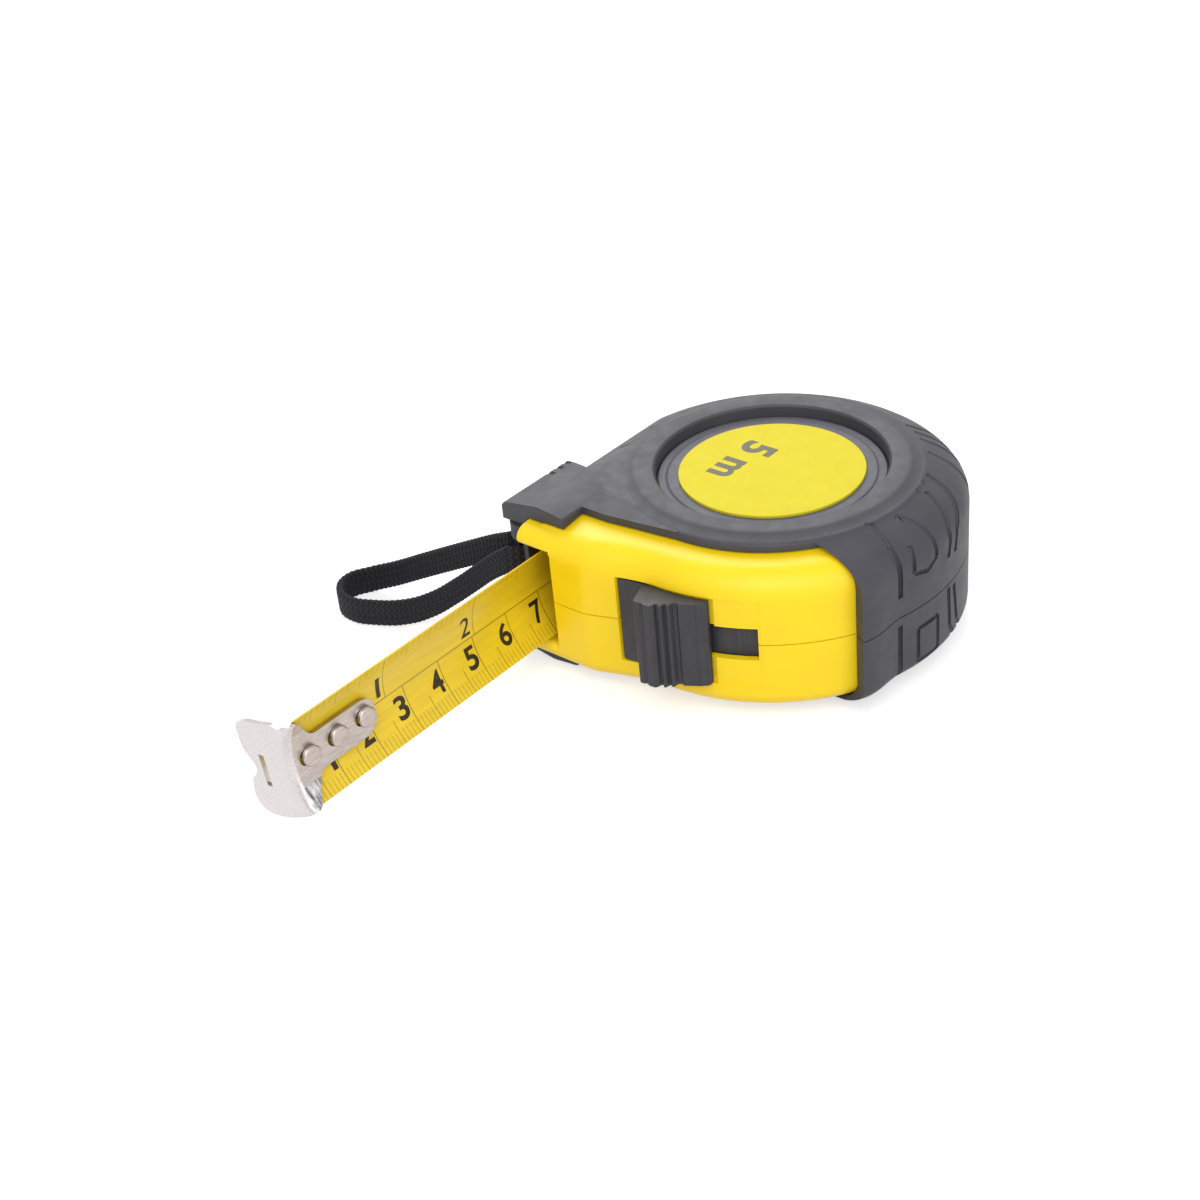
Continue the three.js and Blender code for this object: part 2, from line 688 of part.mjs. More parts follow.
// Hook: a flange across the end of the blade, bent from a tongue that lies on the printed face.
function endHook() {
  const drop = hookDrop;
  const wide = hookHalfWidth;
  const shape = hookDropShares.map((share, i) => [share * drop, hookWidthShares[i] * wide]);
  const flange = prism(shape.reverse(), 0, hookThickness);
  flange.applyMatrix4(alongX);
  flange.translate(-zeroReach - hookThickness, 0, 0);
  const flareEnd = -zeroReach + tongueFlare;
  const tongueEnd = -zeroReach + tongueLength - tongueHalfWidth;
  const root = -zeroReach - hookThickness;
  const flareStart = -zeroReach + flareRootShare * tongueFlare;
  const tip = arc(tongueHalfWidth, -90, 90, 18).map(([x, z]) => [tongueEnd + x, z]);
  const edge = prism([
    [root, -wide], [flareStart, -wide], [flareEnd, -tongueHalfWidth], ...tip,
    [flareEnd, tongueHalfWidth], [flareStart, wide], [root, wide],
  ], -drop, drop);
  edge.applyMatrix4(new THREE.Matrix4().makeBasis(
    new THREE.Vector3(1, 0, 0), new THREE.Vector3(0, 0, 1), new THREE.Vector3(0, -1, 0)));
  const tongue = toSolid(hollowPlate(root, -zeroReach + tongueLength, wide)).intersect(toSolid(edge));
  let hook = toSolid(flange).add(tongue);
  for (let i = 0; i < rivetCount; i += 1) {
    const slot = box(-rivetRadius - seatGap - hookFloat, rivetRadius + seatGap, -overrun, drop / 2,
      -rivetRadius - seatGap, rivetRadius + seatGap);
    slot.translate(rivetX(i), 0, 0);
    hook = subtract(hook, slot);
  }
  const nail = box(-zeroReach - hookThickness * 2, -zeroReach + seatGap, hookSlotReach - hookSlotWidth / 2,
    hookSlotReach + hookSlotWidth / 2, hookSlotCentre - hookSlotHeight / 2,
    hookSlotCentre + hookSlotHeight / 2);
  return toGeometry(subtract(hook, nail));
}

// Plate that lies along the hollow of the printed face.
function hollowPlate(from, to, wide) {
  const across = Array.from({ length: bladeSteps + 1 }, (_, i) => ((2 * i) / bladeSteps - 1) * wide);
  const sagAt = (z) => bladeSag * (1 - ((2 * z) / bladeWidth) ** 2) - seatGap;
  const face = across.map((z) => [sagAt(z) - hookThickness, z]);
  const back = across.map((z) => [sagAt(z), z]).reverse();
  const geometry = prism([...face, ...back].reverse(), from, to);
  geometry.applyMatrix4(alongX);
  return geometry;
}

// Ribbed thumb button, the neck that passes through the slot, and the thin slide behind the wall
// that keeps the slot covered.
function thumbButton() {
  const floor = caseRadius - lockRecessDepth + seatGap;
  const span = lockEnd - lockStart;
  const crestAngle = lockStart + span * lockCrestShare;
  const ribEnd = lockStart + span * lockRibEndShare;
  const pitch = (ribEnd - crestAngle) / lockRibCount;
  const ribs = [];
  for (let i = 0; i < lockRibCount; i += 1) {
    const angle = crestAngle + pitch * i;
    const height = lockCrest - ((lockCrest - lockHeelRadius) * i) / lockRibCount;
    ribs.push(polar(height, angle), polar(height, angle + pitch * lockRibTopShare));
    ribs.push(polar(height - lockRibDepth, angle + pitch * lockRibValleyShare));
  }
  const outline = [
    ...arc(floor, lockEnd, lockStart, 3),
    polar(floor + lockSillHeight, lockStart),
    polar(floor + lockSillHeight, lockStart + span * lockSillShare),
    polar(lockCrest - lockCrestChamfer, lockStart + span * lockRiseShare), ...ribs,
    polar(lockHeelRadius, ribEnd), polar(lockHeelRadius, lockEnd),
  ].reverse();
  const body = toSolid(prism(outline, -lockHalfHeight, lockHalfHeight));
  const neck = ringSector(armOuter + seatGap, floor + seatGap, lockNeckStart, lockNeckEnd,
    -lockNeckHalfHeight, lockNeckHalfHeight);
  const slideOuter = caseRadius - shellWall - seatGap;
  const slide = ringSector(slideOuter - slideThickness, slideOuter, slideStart, slideEnd,
    -slideHalfHeight, slideHalfHeight);
  return toGeometry(unite(body, neck, slide));
}

const armOuter = caseRadius - shellWall - armInset;
const armInner = armOuter - armThickness;

// Height of the printed face above the spool axis at a place across the blade's width.
function bladeFaceReach(across) {
  const share = across / (bladeWidth / 2);
  const roll = radians(bladeRoll);
  return bladeReach + bladeSag * (1 - share * share) * Math.cos(roll) + across * Math.sin(roll);
}

const padReach = bladeFaceReach(-padHalfHeight) - seatGap;
const padTip = 180 - THREE.MathUtils.radToDeg(Math.asin(padReach / armOuter));
const padSpan = THREE.MathUtils.radToDeg(padLength / armOuter);

// Arm that runs inside the wall from the button down to the blade.
function lockArm() {
  const start = padTip + padSpan + THREE.MathUtils.radToDeg(seatGap / armInner);
  const arm = toSolid(ringSector(armInner, armOuter, start, lockNeckEnd, -armHalfHeight, armHalfHeight));
  return toGeometry(arm);
}

function brakePad() {
  return ringSector(armOuter - padThickness, armOuter, padTip, padTip + padSpan, -padHalfHeight,
    padHalfHeight);
}

// Spool: a cup-shaped drum, a cover that closes it, the wound blade and the power spring.
const spoolHalf = bladeWidth / 2 + seatGap;

function spoolDrum() {
  const floor = -spoolHalf - flangeThickness;
  const profile = [
    [drumBore, floor], [flangeRadius, floor], [flangeRadius, -spoolHalf], [drumRadius, -spoolHalf],
    [drumRadius, spoolHalf - seatGap], [drumRadius - drumWall, spoolHalf - seatGap],
    [drumRadius - drumWall, -spoolHalf + seatGap], [drumHub, -spoolHalf + seatGap],
    [drumHub, -spoolHalf + drumWall * 2], [drumBore, -spoolHalf + drumWall * 2], [drumBore, floor],
  ].map(([r, z]) => new THREE.Vector2(r, z));
  const geometry = new THREE.LatheGeometry(profile, 32);
  geometry.rotateX(Math.PI / 2);
  return toGeometry(toSolid(geometry));
}

function spoolCover() {
  const cover = toSolid(rod(flangeRadius, flangeRadius, spoolHalf, spoolHalf + flangeThickness, 0, 0, 32));
  return toGeometry(subtract(cover, rod(drumBore, drumBore, 0, spoolHalf * 2, 0, 0, 24)));
}

function powerSpring() {
  const half = bladeWidth / 2 - drumWall * 2;
  const turns = windStrip(springInnerRadius, springOuterRadius, springTurns, springStrip, half, 20);
  turns.translate(0, 0, drumWall);
  return turns;
}

function spoolPost() {
  const post = toSolid(rod(postRadius, postRadius, -cavityHalfHeight + seatGap,
    cavityHalfHeight - seatGap, 0, 0, 24));
  const slit = box(-springStrip, springStrip, -postRadius - overrun, 0, -spoolHalf + drumWall * 2,
    spoolHalf);
  return toGeometry(subtract(post, slit));
}

function caseScrew(index) {
  const [x, y] = screwPlace(index);
  const seat = -cavityHalfHeight - seatGap;
  const head = toSolid(rod(screwHead, screwHead, seat - screwHeadHeight, seat, x, y, 16));
  const shank = rod(screwShank, screwShank, seat - seatGap, screwReach, x, y, 12);
  const long = screwHead / 2;
  const short = screwSlotWidth / 2;
  const slotTop = seat - screwHeadHeight + screwSlotDepth;
  const slotA = box(x - long, x + long, y - short, y + short, seat - overrun, slotTop);
  const slotB = box(x - short, x + short, y - long, y + long, seat - overrun, slotTop);
  return toGeometry(subtract(unite(head, shank), slotA, slotB));
}

function capDisc() {
  const floor = shellTop - capSink + seatGap;
  return rod(capRadius, capRadius, floor, floor + capThickness, 0, 0, 48);
}

function labelDisc() {
  const floor = shellTop - capSink + capThickness + seatGap * 2;
  return rod(labelRadius, labelRadius, floor, floor + labelThickness, 0, 0, 48);
}

function below(geometry) {
  return toGeometry(toSolid(geometry).mirror([0, 0, 1]));
}

const assembly = new THREE.Group();
assembly.add(
  named('case_upper_shell', toGeometry(shellHalf(false)), materials.yellow),
  named('case_lower_shell', toGeometry(shellHalf(true)), materials.yellow),
  named('grip_upper', toGeometry(gripHalf(false)), materials.rubber),
  named('grip_lower', toGeometry(gripHalf(true)), materials.rubber),
  named('side_cap_upper', capDisc(), materials.rubber),
  named('side_cap_lower', below(capDisc()), materials.rubber),
  named('label_disc_upper', labelDisc(), materials.label),
  named('label_disc_lower', below(labelDisc()), materials.label),
  named('mouth_foot', footBlock(), materials.black),
  named('strap_bar', strapBar(), materials.steel),
  named('wrist_strap', wristStrap(), materials.braid),
  named('spool_post', spoolPost(), materials.white),
  named('spool_drum', spoolDrum(), materials.white),
  named('spool_cover', spoolCover(), materials.white),
  named('power_spring', powerSpring(), materials.spring),
  named('blade_coil', windStrip(coilInnerRadius, coilOuterRadius, coilTurns, coilStrip, bladeWidth / 2, 24),
    materials.blade),
  named('thumb_button', thumbButton(), materials.black),
  named('lock_arm', lockArm(), materials.black),
  named('brake_pad', brakePad(), materials.rubber),
);
screwPlaces.forEach((_, i) => assembly.add(named(`case_screw_${i + 1}`, caseScrew(i), materials.steel)));
bladeGroup.add(
  named('blade', bladeStrip(), materials.blade),
  named('blade_run', bladeRun(), materials.blade),
  named('end_hook', endHook(), materials.steel),
);
for (let i = 0; i < rivetCount; i += 1) {
  bladeGroup.add(named(`hook_rivet_${i + 1}`, rivet(i), materials.steel));
}
assembly.add(bladeGroup);

// The origin is under the middle of everything but the strap, on the resting surface.
const solidPieces = assembly.clone();
solidPieces.remove(solidPieces.getObjectByName('wrist_strap'));
const extent = new THREE.Box3().setFromObject(solidPieces, true);
assembly.position.set(-(extent.min.x + extent.max.x) / 2, -(extent.min.y + extent.max.y) / 2, -extent.min.z);

export default assembly;
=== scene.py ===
import json
from math import asin, cos, degrees, hypot, pi, radians, sin

import bmesh
import bpy
from mathutils import Matrix, Vector
from mathutils.geometry import interpolate_bezier


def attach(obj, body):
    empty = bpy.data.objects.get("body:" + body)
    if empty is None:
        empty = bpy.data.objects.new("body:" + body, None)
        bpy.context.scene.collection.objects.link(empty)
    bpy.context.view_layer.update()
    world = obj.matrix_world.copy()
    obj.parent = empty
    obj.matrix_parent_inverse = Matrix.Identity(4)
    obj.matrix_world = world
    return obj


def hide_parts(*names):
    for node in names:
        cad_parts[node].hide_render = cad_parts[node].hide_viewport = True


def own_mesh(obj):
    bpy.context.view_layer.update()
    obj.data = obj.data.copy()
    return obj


# Pocket tape measure lying on its side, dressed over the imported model.
# Pieces are modelled in millimetres about the spool axis, with z = 0 where the case halves meet.
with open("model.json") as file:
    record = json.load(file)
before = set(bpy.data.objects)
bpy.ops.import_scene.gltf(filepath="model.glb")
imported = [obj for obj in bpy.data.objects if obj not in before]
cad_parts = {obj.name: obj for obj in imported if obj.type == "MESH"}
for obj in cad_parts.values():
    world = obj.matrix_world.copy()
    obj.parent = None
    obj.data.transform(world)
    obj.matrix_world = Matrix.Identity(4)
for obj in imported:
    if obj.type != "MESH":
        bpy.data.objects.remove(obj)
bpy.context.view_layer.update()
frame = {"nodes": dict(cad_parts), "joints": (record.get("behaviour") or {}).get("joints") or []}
scene = bpy.context.scene

spoolAxis = next(joint for joint in frame["joints"] if joint["name"] == "spool_turn")["pos_m"]
caseToRow = Matrix.Translation(spoolAxis) @ Matrix.Scale(0.001, 4)
restHalf = 18.75  # from the mid-plane to the flat of either ring


def polar(radius, angle, height=0.0):
    return Vector((radius * cos(radians(angle)), radius * sin(radians(angle)), height))


# Camera at the photograph's viewing angle, fitted to the blade's printed centimetres
cameraSetup = {
    "place": (-0.247759, -0.214205, 0.235355),
    "heading": -47.03, "tilt": 57.17, "roll": -5.91,
    "lens": 58.762, "sensor": 36.0,
}


def makeCamera(setup):
    camera = bpy.data.objects.new("camera", bpy.data.cameras.new("camera"))
    camera.data.lens = setup["lens"]
    camera.data.sensor_width = setup["sensor"]
    camera.data.clip_start = 0.01
    turn = Matrix.Rotation(radians(setup["heading"]), 4, "Z")
    turn = turn @ Matrix.Rotation(radians(setup["tilt"]), 4, "X")
    turn = turn @ Matrix.Rotation(radians(setup["roll"]), 4, "Z")
    camera.matrix_world = Matrix.Translation(setup["place"]) @ turn
    scene.collection.objects.link(camera)
    scene.camera = camera


makeCamera(cameraSetup)
print("camera made")


# Materials

def linear(hexColour):
    channels = [int(hexColour[i:i + 2], 16) / 255 for i in (1, 3, 5)]
    return tuple(c / 12.92 if c <= 0.04045 else ((c + 0.055) / 1.055) ** 2.4 for c in channels) + (1.0,)


def addNode(tree, kind, values=None, **settings):
    node = tree.nodes.new(kind)
    for name, value in settings.items():
        setattr(node, name, value)
    for socket, value in (values or {}).items():
        if isinstance(value, bpy.types.NodeSocket):
            tree.links.new(value, node.inputs[socket])
        else:
            node.inputs[socket].default_value = value
    return node


def emptyTree(owner):
    # The node tree of a material or world, cleared
    owner.use_nodes = True
    owner.node_tree.nodes.clear()
    return owner.node_tree


def startMaterial(name, values):
    material = bpy.data.materials.new(name)
    tree = emptyTree(material)
    shader = addNode(tree, "ShaderNodeBsdfPrincipled", values)
    addNode(tree, "ShaderNodeOutputMaterial", {"Surface": shader.outputs[0]})
    return material, tree, shader


def placeInMm(tree):
    # Object coordinates, turned from metres to millimetres
    coordinates = addNode(tree, "ShaderNodeTexCoord")
    return addNode(tree, "ShaderNodeVectorMath", {0: coordinates.outputs["Object"], "Scale": 1000.0},
                   operation="SCALE").outputs[0]


def uvInMm(tree, name):
    # The two axes of a UV map that holds millimetres
    uv = addNode(tree, "ShaderNodeUVMap", uv_map=name)
    return addNode(tree, "ShaderNodeSeparateXYZ", {0: uv.outputs[0]}).outputs[:2]


def noise(tree, place, grain, detail=2.0):
    # grain is the size of one blob in millimetres
    return addNode(tree, "ShaderNodeTexNoise", {
        "Vector": place, "Scale": 1 / grain, "Detail": detail, "Roughness": 0.5}).outputs["Fac"]


def spread(tree, value, low, high):
    # noise gathers about one half, so its middle part is stretched over the wanted range
    return addNode(tree, "ShaderNodeMapRange", {"Value": value, "From Min": 0.3, "From Max": 0.7,
                                                "To Min": low, "To Max": high}).outputs[0]


def calculate(tree, operation, *values):
    return addNode(tree, "ShaderNodeMath", dict(enumerate(values)), operation=operation).outputs[0]


def stretch(tree, place, scale):
    return addNode(tree, "ShaderNodeMapping", {"Vector": place, "Scale": scale}).outputs[0]


def tint(tree, share, first, second):
    # the first colour may also come from a socket
    first = linear(first) if isinstance(first, str) else first
    return addNode(tree, "ShaderNodeMix", {"Factor": share, 6: first, 7: linear(second)},
                   data_type="RGBA").outputs[2]


def bump(tree, shader, height, depth, after=None):
    # depth in millimetres
    values = {"Height": height, "Distance": depth / 1000}
    if after is not None:
        values["Normal"] = after
    node = addNode(tree, "ShaderNodeBump", values)
    tree.links.new(node.outputs[0], shader.inputs["Normal"])
    return node.outputs[0]


def connect(tree, shader, **sockets):
    for name, source in sockets.items():
        tree.links.new(source, shader.inputs[name.replace("_", " ")])


def mouldedPlastic(name, look):
    # Injection-moulded plastic: even colour, a fine spark-eroded grain and a soft large-scale waviness
    material, tree, shader = startMaterial(name, {"IOR": look["ior"], "Specular IOR Level": look["shine"]})
    place = placeInMm(tree)
    shade = spread(tree, noise(tree, place, look["patch"], 3.0), 0.0, 1.0)
    gloss = spread(tree, noise(tree, place, look["patch"] / 3), look["rough"] - 0.04, look["rough"] + 0.05)
    connect(tree, shader, Base_Color=tint(tree, shade, look["colour"], look["worn"]), Roughness=gloss)
    waves = bump(tree, shader, noise(tree, place, look["patch"]), look["wave"])
    bump(tree, shader, noise(tree, place, look["grain"], 1.0), look["grainDepth"], waves)
    return material


# ABS, injection moulded in a lightly textured tool: a clean yellow with a soft wide highlight
yellowAbs = mouldedPlastic("moulded_yellow_abs", {
    "colour": "#ffdc08", "worn": "#fcd60a", "ior": 1.53, "shine": 0.45, "rough": 0.4, "patch": 14.0,
    "wave": 0.02, "grain": 0.45, "grainDepth": 0.004})

# Thermoplastic rubber, moulded over the shells: charcoal, matt to satin, with a fine grain that catches dust
overmouldedRubber = mouldedPlastic("overmoulded_tpe_rubber", {
    "colour": "#37363d", "worn": "#3e3d44", "ior": 1.5, "shine": 0.5, "rough": 0.56, "patch": 9.0,
    "wave": 0.02, "grain": 0.5, "grainDepth": 0.012})

# ABS disc from a spark-eroded tool: charcoal with a coarser grain than the rubber
texturedAbs = mouldedPlastic("spark_textured_abs", {
    "colour": "#5a5960", "worn": "#616067", "ior": 1.52, "shine": 0.4, "rough": 0.6, "patch": 7.0,
    "wave": 0.01, "grain": 0.4, "grainDepth": 0.018})

# Acetal drum and post: milky white, smooth and slightly waxy
whiteAcetal = mouldedPlastic("moulded_white_acetal", {
    "colour": "#dedcd4", "worn": "#d6d3c9", "ior": 1.48, "shine": 0.4, "rough": 0.42, "patch": 10.0,
    "wave": 0.01, "grain": 0.5, "grainDepth": 0.003})

# Nitrile rubber brake pad: black and matt
nitrileRubber = mouldedPlastic("moulded_nitrile_rubber", {
    "colour": "#26262a", "worn": "#2e2e32", "ior": 1.5, "shine": 0.25, "rough": 0.8, "patch": 3.0,
    "wave": 0.01, "grain": 0.3, "grainDepth": 0.01})


def flowPlastic(name, look):
    # Glass-filled nylon, moulded: near black, with streaks where the melt ran along the part
    material, tree, shader = startMaterial(name, {"IOR": 1.53, "Specular IOR Level": 0.4})
    place = placeInMm(tree)
    flow = noise(tree, stretch(tree, place, look["stretch"]), look["streak"], 3.0)
    streaks = spread(tree, flow, 0.0, 1.0)
    gloss = spread(tree, noise(tree, place, 4.0), look["rough"] - 0.05, look["rough"] + 0.06)
    connect(tree, shader, Base_Color=tint(tree, streaks, look["colour"], look["streakColour"]),
            Roughness=gloss)
    lines = bump(tree, shader, streaks, 0.012)
    bump(tree, shader, noise(tree, place, 0.4, 1.0), 0.006, lines)
    return material


blackNylon = flowPlastic("moulded_black_nylon", {
    "colour": "#2b2a30", "streakColour": "#37363c", "rough": 0.5, "streak": 0.55,
    "stretch": (1.0, 1.0, 0.06)})


def platedSteel(name, look):
    # Rolled and plated sheet: bright metal with faint rolling lines and a cloudy gloss
    material, tree, shader = startMaterial(name, {"Metallic": 1.0})
    place = placeInMm(tree)
    lines = noise(tree, stretch(tree, place, look["stretch"]), look["line"], 3.0)
    cloud = spread(tree, noise(tree, place, 5.0, 3.0), look["rough"] - 0.05, look["rough"] + 0.08)
    shade = spread(tree, lines, 0.0, 1.0)
    # the lines tint towards the second colour; in the flare's steel that colour is a painted dark reflection
    connect(tree, shader, Base_Color=tint(tree, shade, look["colour"], look["dull"]), Roughness=cloud)
    waves = bump(tree, shader, noise(tree, place, 3.0), look["wave"])
    bump(tree, shader, lines, look["lineDepth"], waves)
    return material


# Nickel-plated spring steel, stamped: warm white metal, satin from tumbling
nickelSteel = platedSteel("nickel_plated_steel", {
    "colour": "#cfcacb", "dull": "#bdb6b5", "rough": 0.24, "stretch": (0.15, 1.0, 1.0), "line": 0.35,
    "lineDepth": 0.0015, "wave": 0.02})

# The same plate on the tongue and rivets, a little duller, darker and warmer
darkerSteel = platedSteel("darker_nickel_plated_steel", {
    "colour": "#c2b9b4", "dull": "#a89d97", "rough": 0.3, "stretch": (0.15, 1.0, 1.0), "line": 0.35,
    "lineDepth": 0.0015, "wave": 0.02})

# On one side of the flare the plate is polished, and dark streaks are painted into its colour: a painted
# reflection of dark surroundings
flareReflectionSteel = platedSteel("nickel_steel_painted_reflection", {
    "colour": "#e4e2e3", "dull": "#4f4e55", "rough": 0.16, "stretch": (1.0, 0.4, 0.12), "line": 0.6,
    "lineDepth": 0.003, "wave": 0.03})

# Zinc-plated steel screws: bluish and brighter
zincSteel = platedSteel("zinc_plated_steel", {
    "colour": "#c9cbd0", "dull": "#b5b8bf", "rough": 0.32, "stretch": (1.0, 1.0, 1.0), "line": 0.5,
    "lineDepth": 0.002, "wave": 0.01})

# Steel pin, coloured near black as painted shade, for it lies in the shade of the foot
pinShadeSteel = platedSteel("steel_dark_as_painted_shade", {
    "colour": "#2e2e30", "dull": "#242427", "rough": 0.4, "stretch": (1.0, 1.0, 1.0), "line": 0.5,
    "lineDepth": 0.001, "wave": 0.005})

# Blued carbon-steel spring: dark with a straw and blue oxide
bluedSteel = platedSteel("blued_spring_steel", {
    "colour": "#4a5560", "dull": "#6a625c", "rough": 0.35, "stretch": (1.0, 1.0, 0.1), "line": 0.8,
    "lineDepth": 0.001, "wave": 0.01})


def printedInk(name, colour):
    # Printing ink, which lies on enamel or film as a thin dark coat
    material, tree, shader = startMaterial(name, {"IOR": 1.5, "Specular IOR Level": 0.35, "Roughness": 0.42})
    shade = spread(tree, noise(tree, placeInMm(tree), 0.6), 0.0, 1.0)
    thin = calculate(tree, "MULTIPLY", shade, 0.25)
    connect(tree, shader, Base_Color=tint(tree, thin, colour, "#5a4a22"))
    return material


blackInk = printedInk("printed_black_ink", "#20180c")
labelInk = printedInk("printed_grey_ink", "#4b4620")


# The scale printed on the blade. Its UV map holds millimetres: u from the blade's zero, v across from the
# middle line.
scalePrint = {
    "ink": "#2a1f10", "middleHalf": 0.1, "middleDarkness": 0.75,
    "marks": [
        # pitch, half a line's width, from v, to v, darkness
        (1.0, 0.075, -9.6, -6.9, 0.5), (5.0, 0.09, -9.6, -5.0, 0.62), (10.0, 0.1, -9.6, 0.0, 0.72),
        (25.4 / 16, 0.08, 7.7, 9.6, 0.4), (25.4 / 4, 0.08, 6.2, 9.6, 0.4), (25.4, 0.1, 0.0, 9.6, 0.62),
    ],
}


def scaleInk(tree):
    # How dark the printed lines are at each place of the UV map
    along, across = uvInMm(tree, "scale")
    middle = calculate(tree, "LESS_THAN", calculate(tree, "ABSOLUTE", across), scalePrint["middleHalf"])
    ink = calculate(tree, "MULTIPLY", middle, scalePrint["middleDarkness"])
    for pitch, half, low, high, darkness in scalePrint["marks"]:
        mark = calculate(tree, "LESS_THAN", calculate(tree, "PINGPONG", along, pitch / 2), half)
        for limit in (calculate(tree, "GREATER_THAN", across, low),
                      calculate(tree, "LESS_THAN", across, high)):
            mark = calculate(tree, "MULTIPLY", mark, limit)
        ink = calculate(tree, "MAXIMUM", ink, calculate(tree, "MULTIPLY", mark, darkness))
    return ink


def tapeEnamel(name, printed):
    # Baked enamel on steel strip: glossy yellow under a clear coat, worn dull in streaks along the blade
    material, tree, shader = startMaterial(name, {
        "IOR": 1.5, "Specular IOR Level": 0.5, "Coat Weight": 0.25, "Coat Roughness": 0.18})
    streaked = stretch(tree, placeInMm(tree), (0.12, 1.0, 1.0))
    colour = tint(tree, spread(tree, noise(tree, streaked, 0.9, 4.0), 0.0, 1.0), "#ebca16", "#dfbd20")
    connect(tree, shader, Roughness=spread(tree, noise(tree, streaked, 1.6, 3.0), 0.3, 0.44))
    bump(tree, shader, noise(tree, streaked, 0.6, 2.0), 0.004)
    if printed:
        colour = tint(tree, scaleInk(tree), colour, scalePrint["ink"])
    connect(tree, shader, Base_Color=colour)
    return material


tapeFace = tapeEnamel("enamelled_tape_steel", True)
tapeBack = tapeEnamel("enamelled_tape_back", False)


def printedFilm():
    # Printed vinyl label, matt: lemon yellow, smooth, with a faint orange peel
    material, tree, shader = startMaterial("printed_vinyl_label", {"IOR": 1.5, "Specular IOR Level": 0.2})
    place = placeInMm(tree)
    shade = spread(tree, noise(tree, place, 6.0, 3.0), 0.0, 1.0)
    connect(tree, shader, Base_Color=tint(tree, shade, "#e0d12a", "#dbcb28"),
            Roughness=spread(tree, noise(tree, place, 2.0), 0.6, 0.7))
    bump(tree, shader, noise(tree, place, 1.2), 0.006)
    return material


vinylLabel = printedFilm()


def braidedNylon(look):
    # Flat braid of textured nylon yarn: near black, matt, plaits slanting to and fro in narrow columns
    material, tree, shader = startMaterial("braided_black_nylon", {
        "Roughness": 0.78, "IOR": 1.5, "Specular IOR Level": 0.25, "Sheen Weight": 0.12,
        "Sheen Roughness": 0.4, "Sheen Tint": linear("#8d8d9c")})
    along, around = uvInMm(tree, "braid")
    column = calculate(tree, "PINGPONG", around, look["column"])
    run = calculate(tree, "ADD", along, calculate(tree, "MULTIPLY", column, look["slant"]))
    wave = calculate(tree, "SINE", calculate(tree, "MULTIPLY", run, 2 * pi / look["plait"]))
    plait = calculate(tree, "MULTIPLY_ADD", wave, 0.5, 0.5)
    crease = addNode(tree, "ShaderNodeMapRange", {"Value": column, "From Min": 0.0, "From Max": 0.25,
                                                  "To Min": 0.35, "To Max": 1.0}).outputs[0]
    relief = calculate(tree, "MULTIPLY", plait, crease)
    rise = calculate(tree, "MULTIPLY_ADD", noise(tree, placeInMm(tree), look["fuzz"], 2.0), 0.3, relief)
    # the colour is darker in the low parts of the plaits and at the columns' edges: painted shade in the
    # braid's hollows
    connect(tree, shader, Base_Color=tint(tree, relief, "#131317", "#2c2c33"))
    bump(tree, shader, rise, look["depth"])
    return material


nylonBraid = braidedNylon({"column": 0.8, "slant": 0.9, "plait": 1.25, "fuzz": 0.25, "depth": 0.22})
print("materials made")


# Mesh helpers

def vertsOf(parts):
    return [part for part in parts if isinstance(part, bmesh.types.BMVert)]


def outward(bm):
    bmesh.ops.recalc_face_normals(bm, faces=bm.faces[:])
    return bm


def moved(bm, matrix):
    bmesh.ops.transform(bm, matrix=matrix, verts=bm.verts[:])
    return outward(bm)


def axes(x, y, z, place=(0, 0, 0)):
    # Lays a shape's own x, y and z along the given directions
    return Matrix.Translation(place) @ Matrix((x, y, z)).transposed().to_4x4()


tipped = Matrix.Rotation(pi / 2, 4, "X")  # turns a shape's y upright and its height to -y


def traceLoop(bm, stops, height):
    # Traces a closed outline of ("corner", x, y) and ("turn", degrees, steps), which spins the last corner
    # about the spool axis
    known = set(bm.edges)
    first = last = None
    for kind, one, two in stops:
        if kind == "corner":
            vert = bm.verts.new((one, two, height))
            if last is not None:
                bm.edges.new((last, vert))
            last = vert
        else:
            swept = bmesh.ops.spin(bm, geom=[last], axis=(0, 0, 1), angle=radians(one), steps=two)
            last = vertsOf(swept["geom_last"])[0]
        first = first or last
    bm.edges.new((last, first))
    return [edge for edge in bm.edges if edge not in known]


def loft(levels):
    # A closed block through outlines with as many points each, given as (stops, height) from below
    bm = bmesh.new()
    loops = [traceLoop(bm, stops, height) for stops, height in levels]
    for below, above in zip(loops, loops[1:]):
        bmesh.ops.bridge_loops(bm, edges=below + above)
    for loop in (loops[0], loops[-1]):
        bmesh.ops.contextual_create(bm, geom=loop)
    return outward(bm)


def slab(stops, bottom, top):
    return loft([(stops, bottom), (stops, top)])


def corners(*points):
    return [("corner", x, y) for x, y in points]


def box(low, high):
    bm = bmesh.new()
    middle = [(a + b) / 2 for a, b in zip(low, high)]
    size = [b - a for a, b in zip(low, high)]
    bmesh.ops.create_cube(bm, size=1, matrix=Matrix.Translation(middle) @ Matrix.Diagonal((*size, 1)))
    return bm


def rod(radius, bottom, top, place=(0, 0), sides=96):
    bm = bmesh.new()
    bmesh.ops.create_cone(bm, cap_ends=True, segments=sides, radius1=radius, radius2=radius,
                          depth=top - bottom, matrix=Matrix.Translation((*place, (top + bottom) / 2)))
    return bm


def lathe(profile, steps=120):
    # Spins a closed profile of (radius, height) about z
    bm = bmesh.new()
    verts = [bm.verts.new((radius, 0, height)) for radius, height in profile]
    edges = [bm.edges.new(pair) for pair in zip(verts, verts[1:])]
    if profile[0][0] > 0.001:
        edges.append(bm.edges.new((verts[-1], verts[0])))
    bmesh.ops.spin(bm, geom=verts + edges, axis=(0, 0, 1), angle=2 * pi, steps=steps, use_merge=True)
    bmesh.ops.remove_doubles(bm, verts=bm.verts[:], dist=0.001)
    return outward(bm)


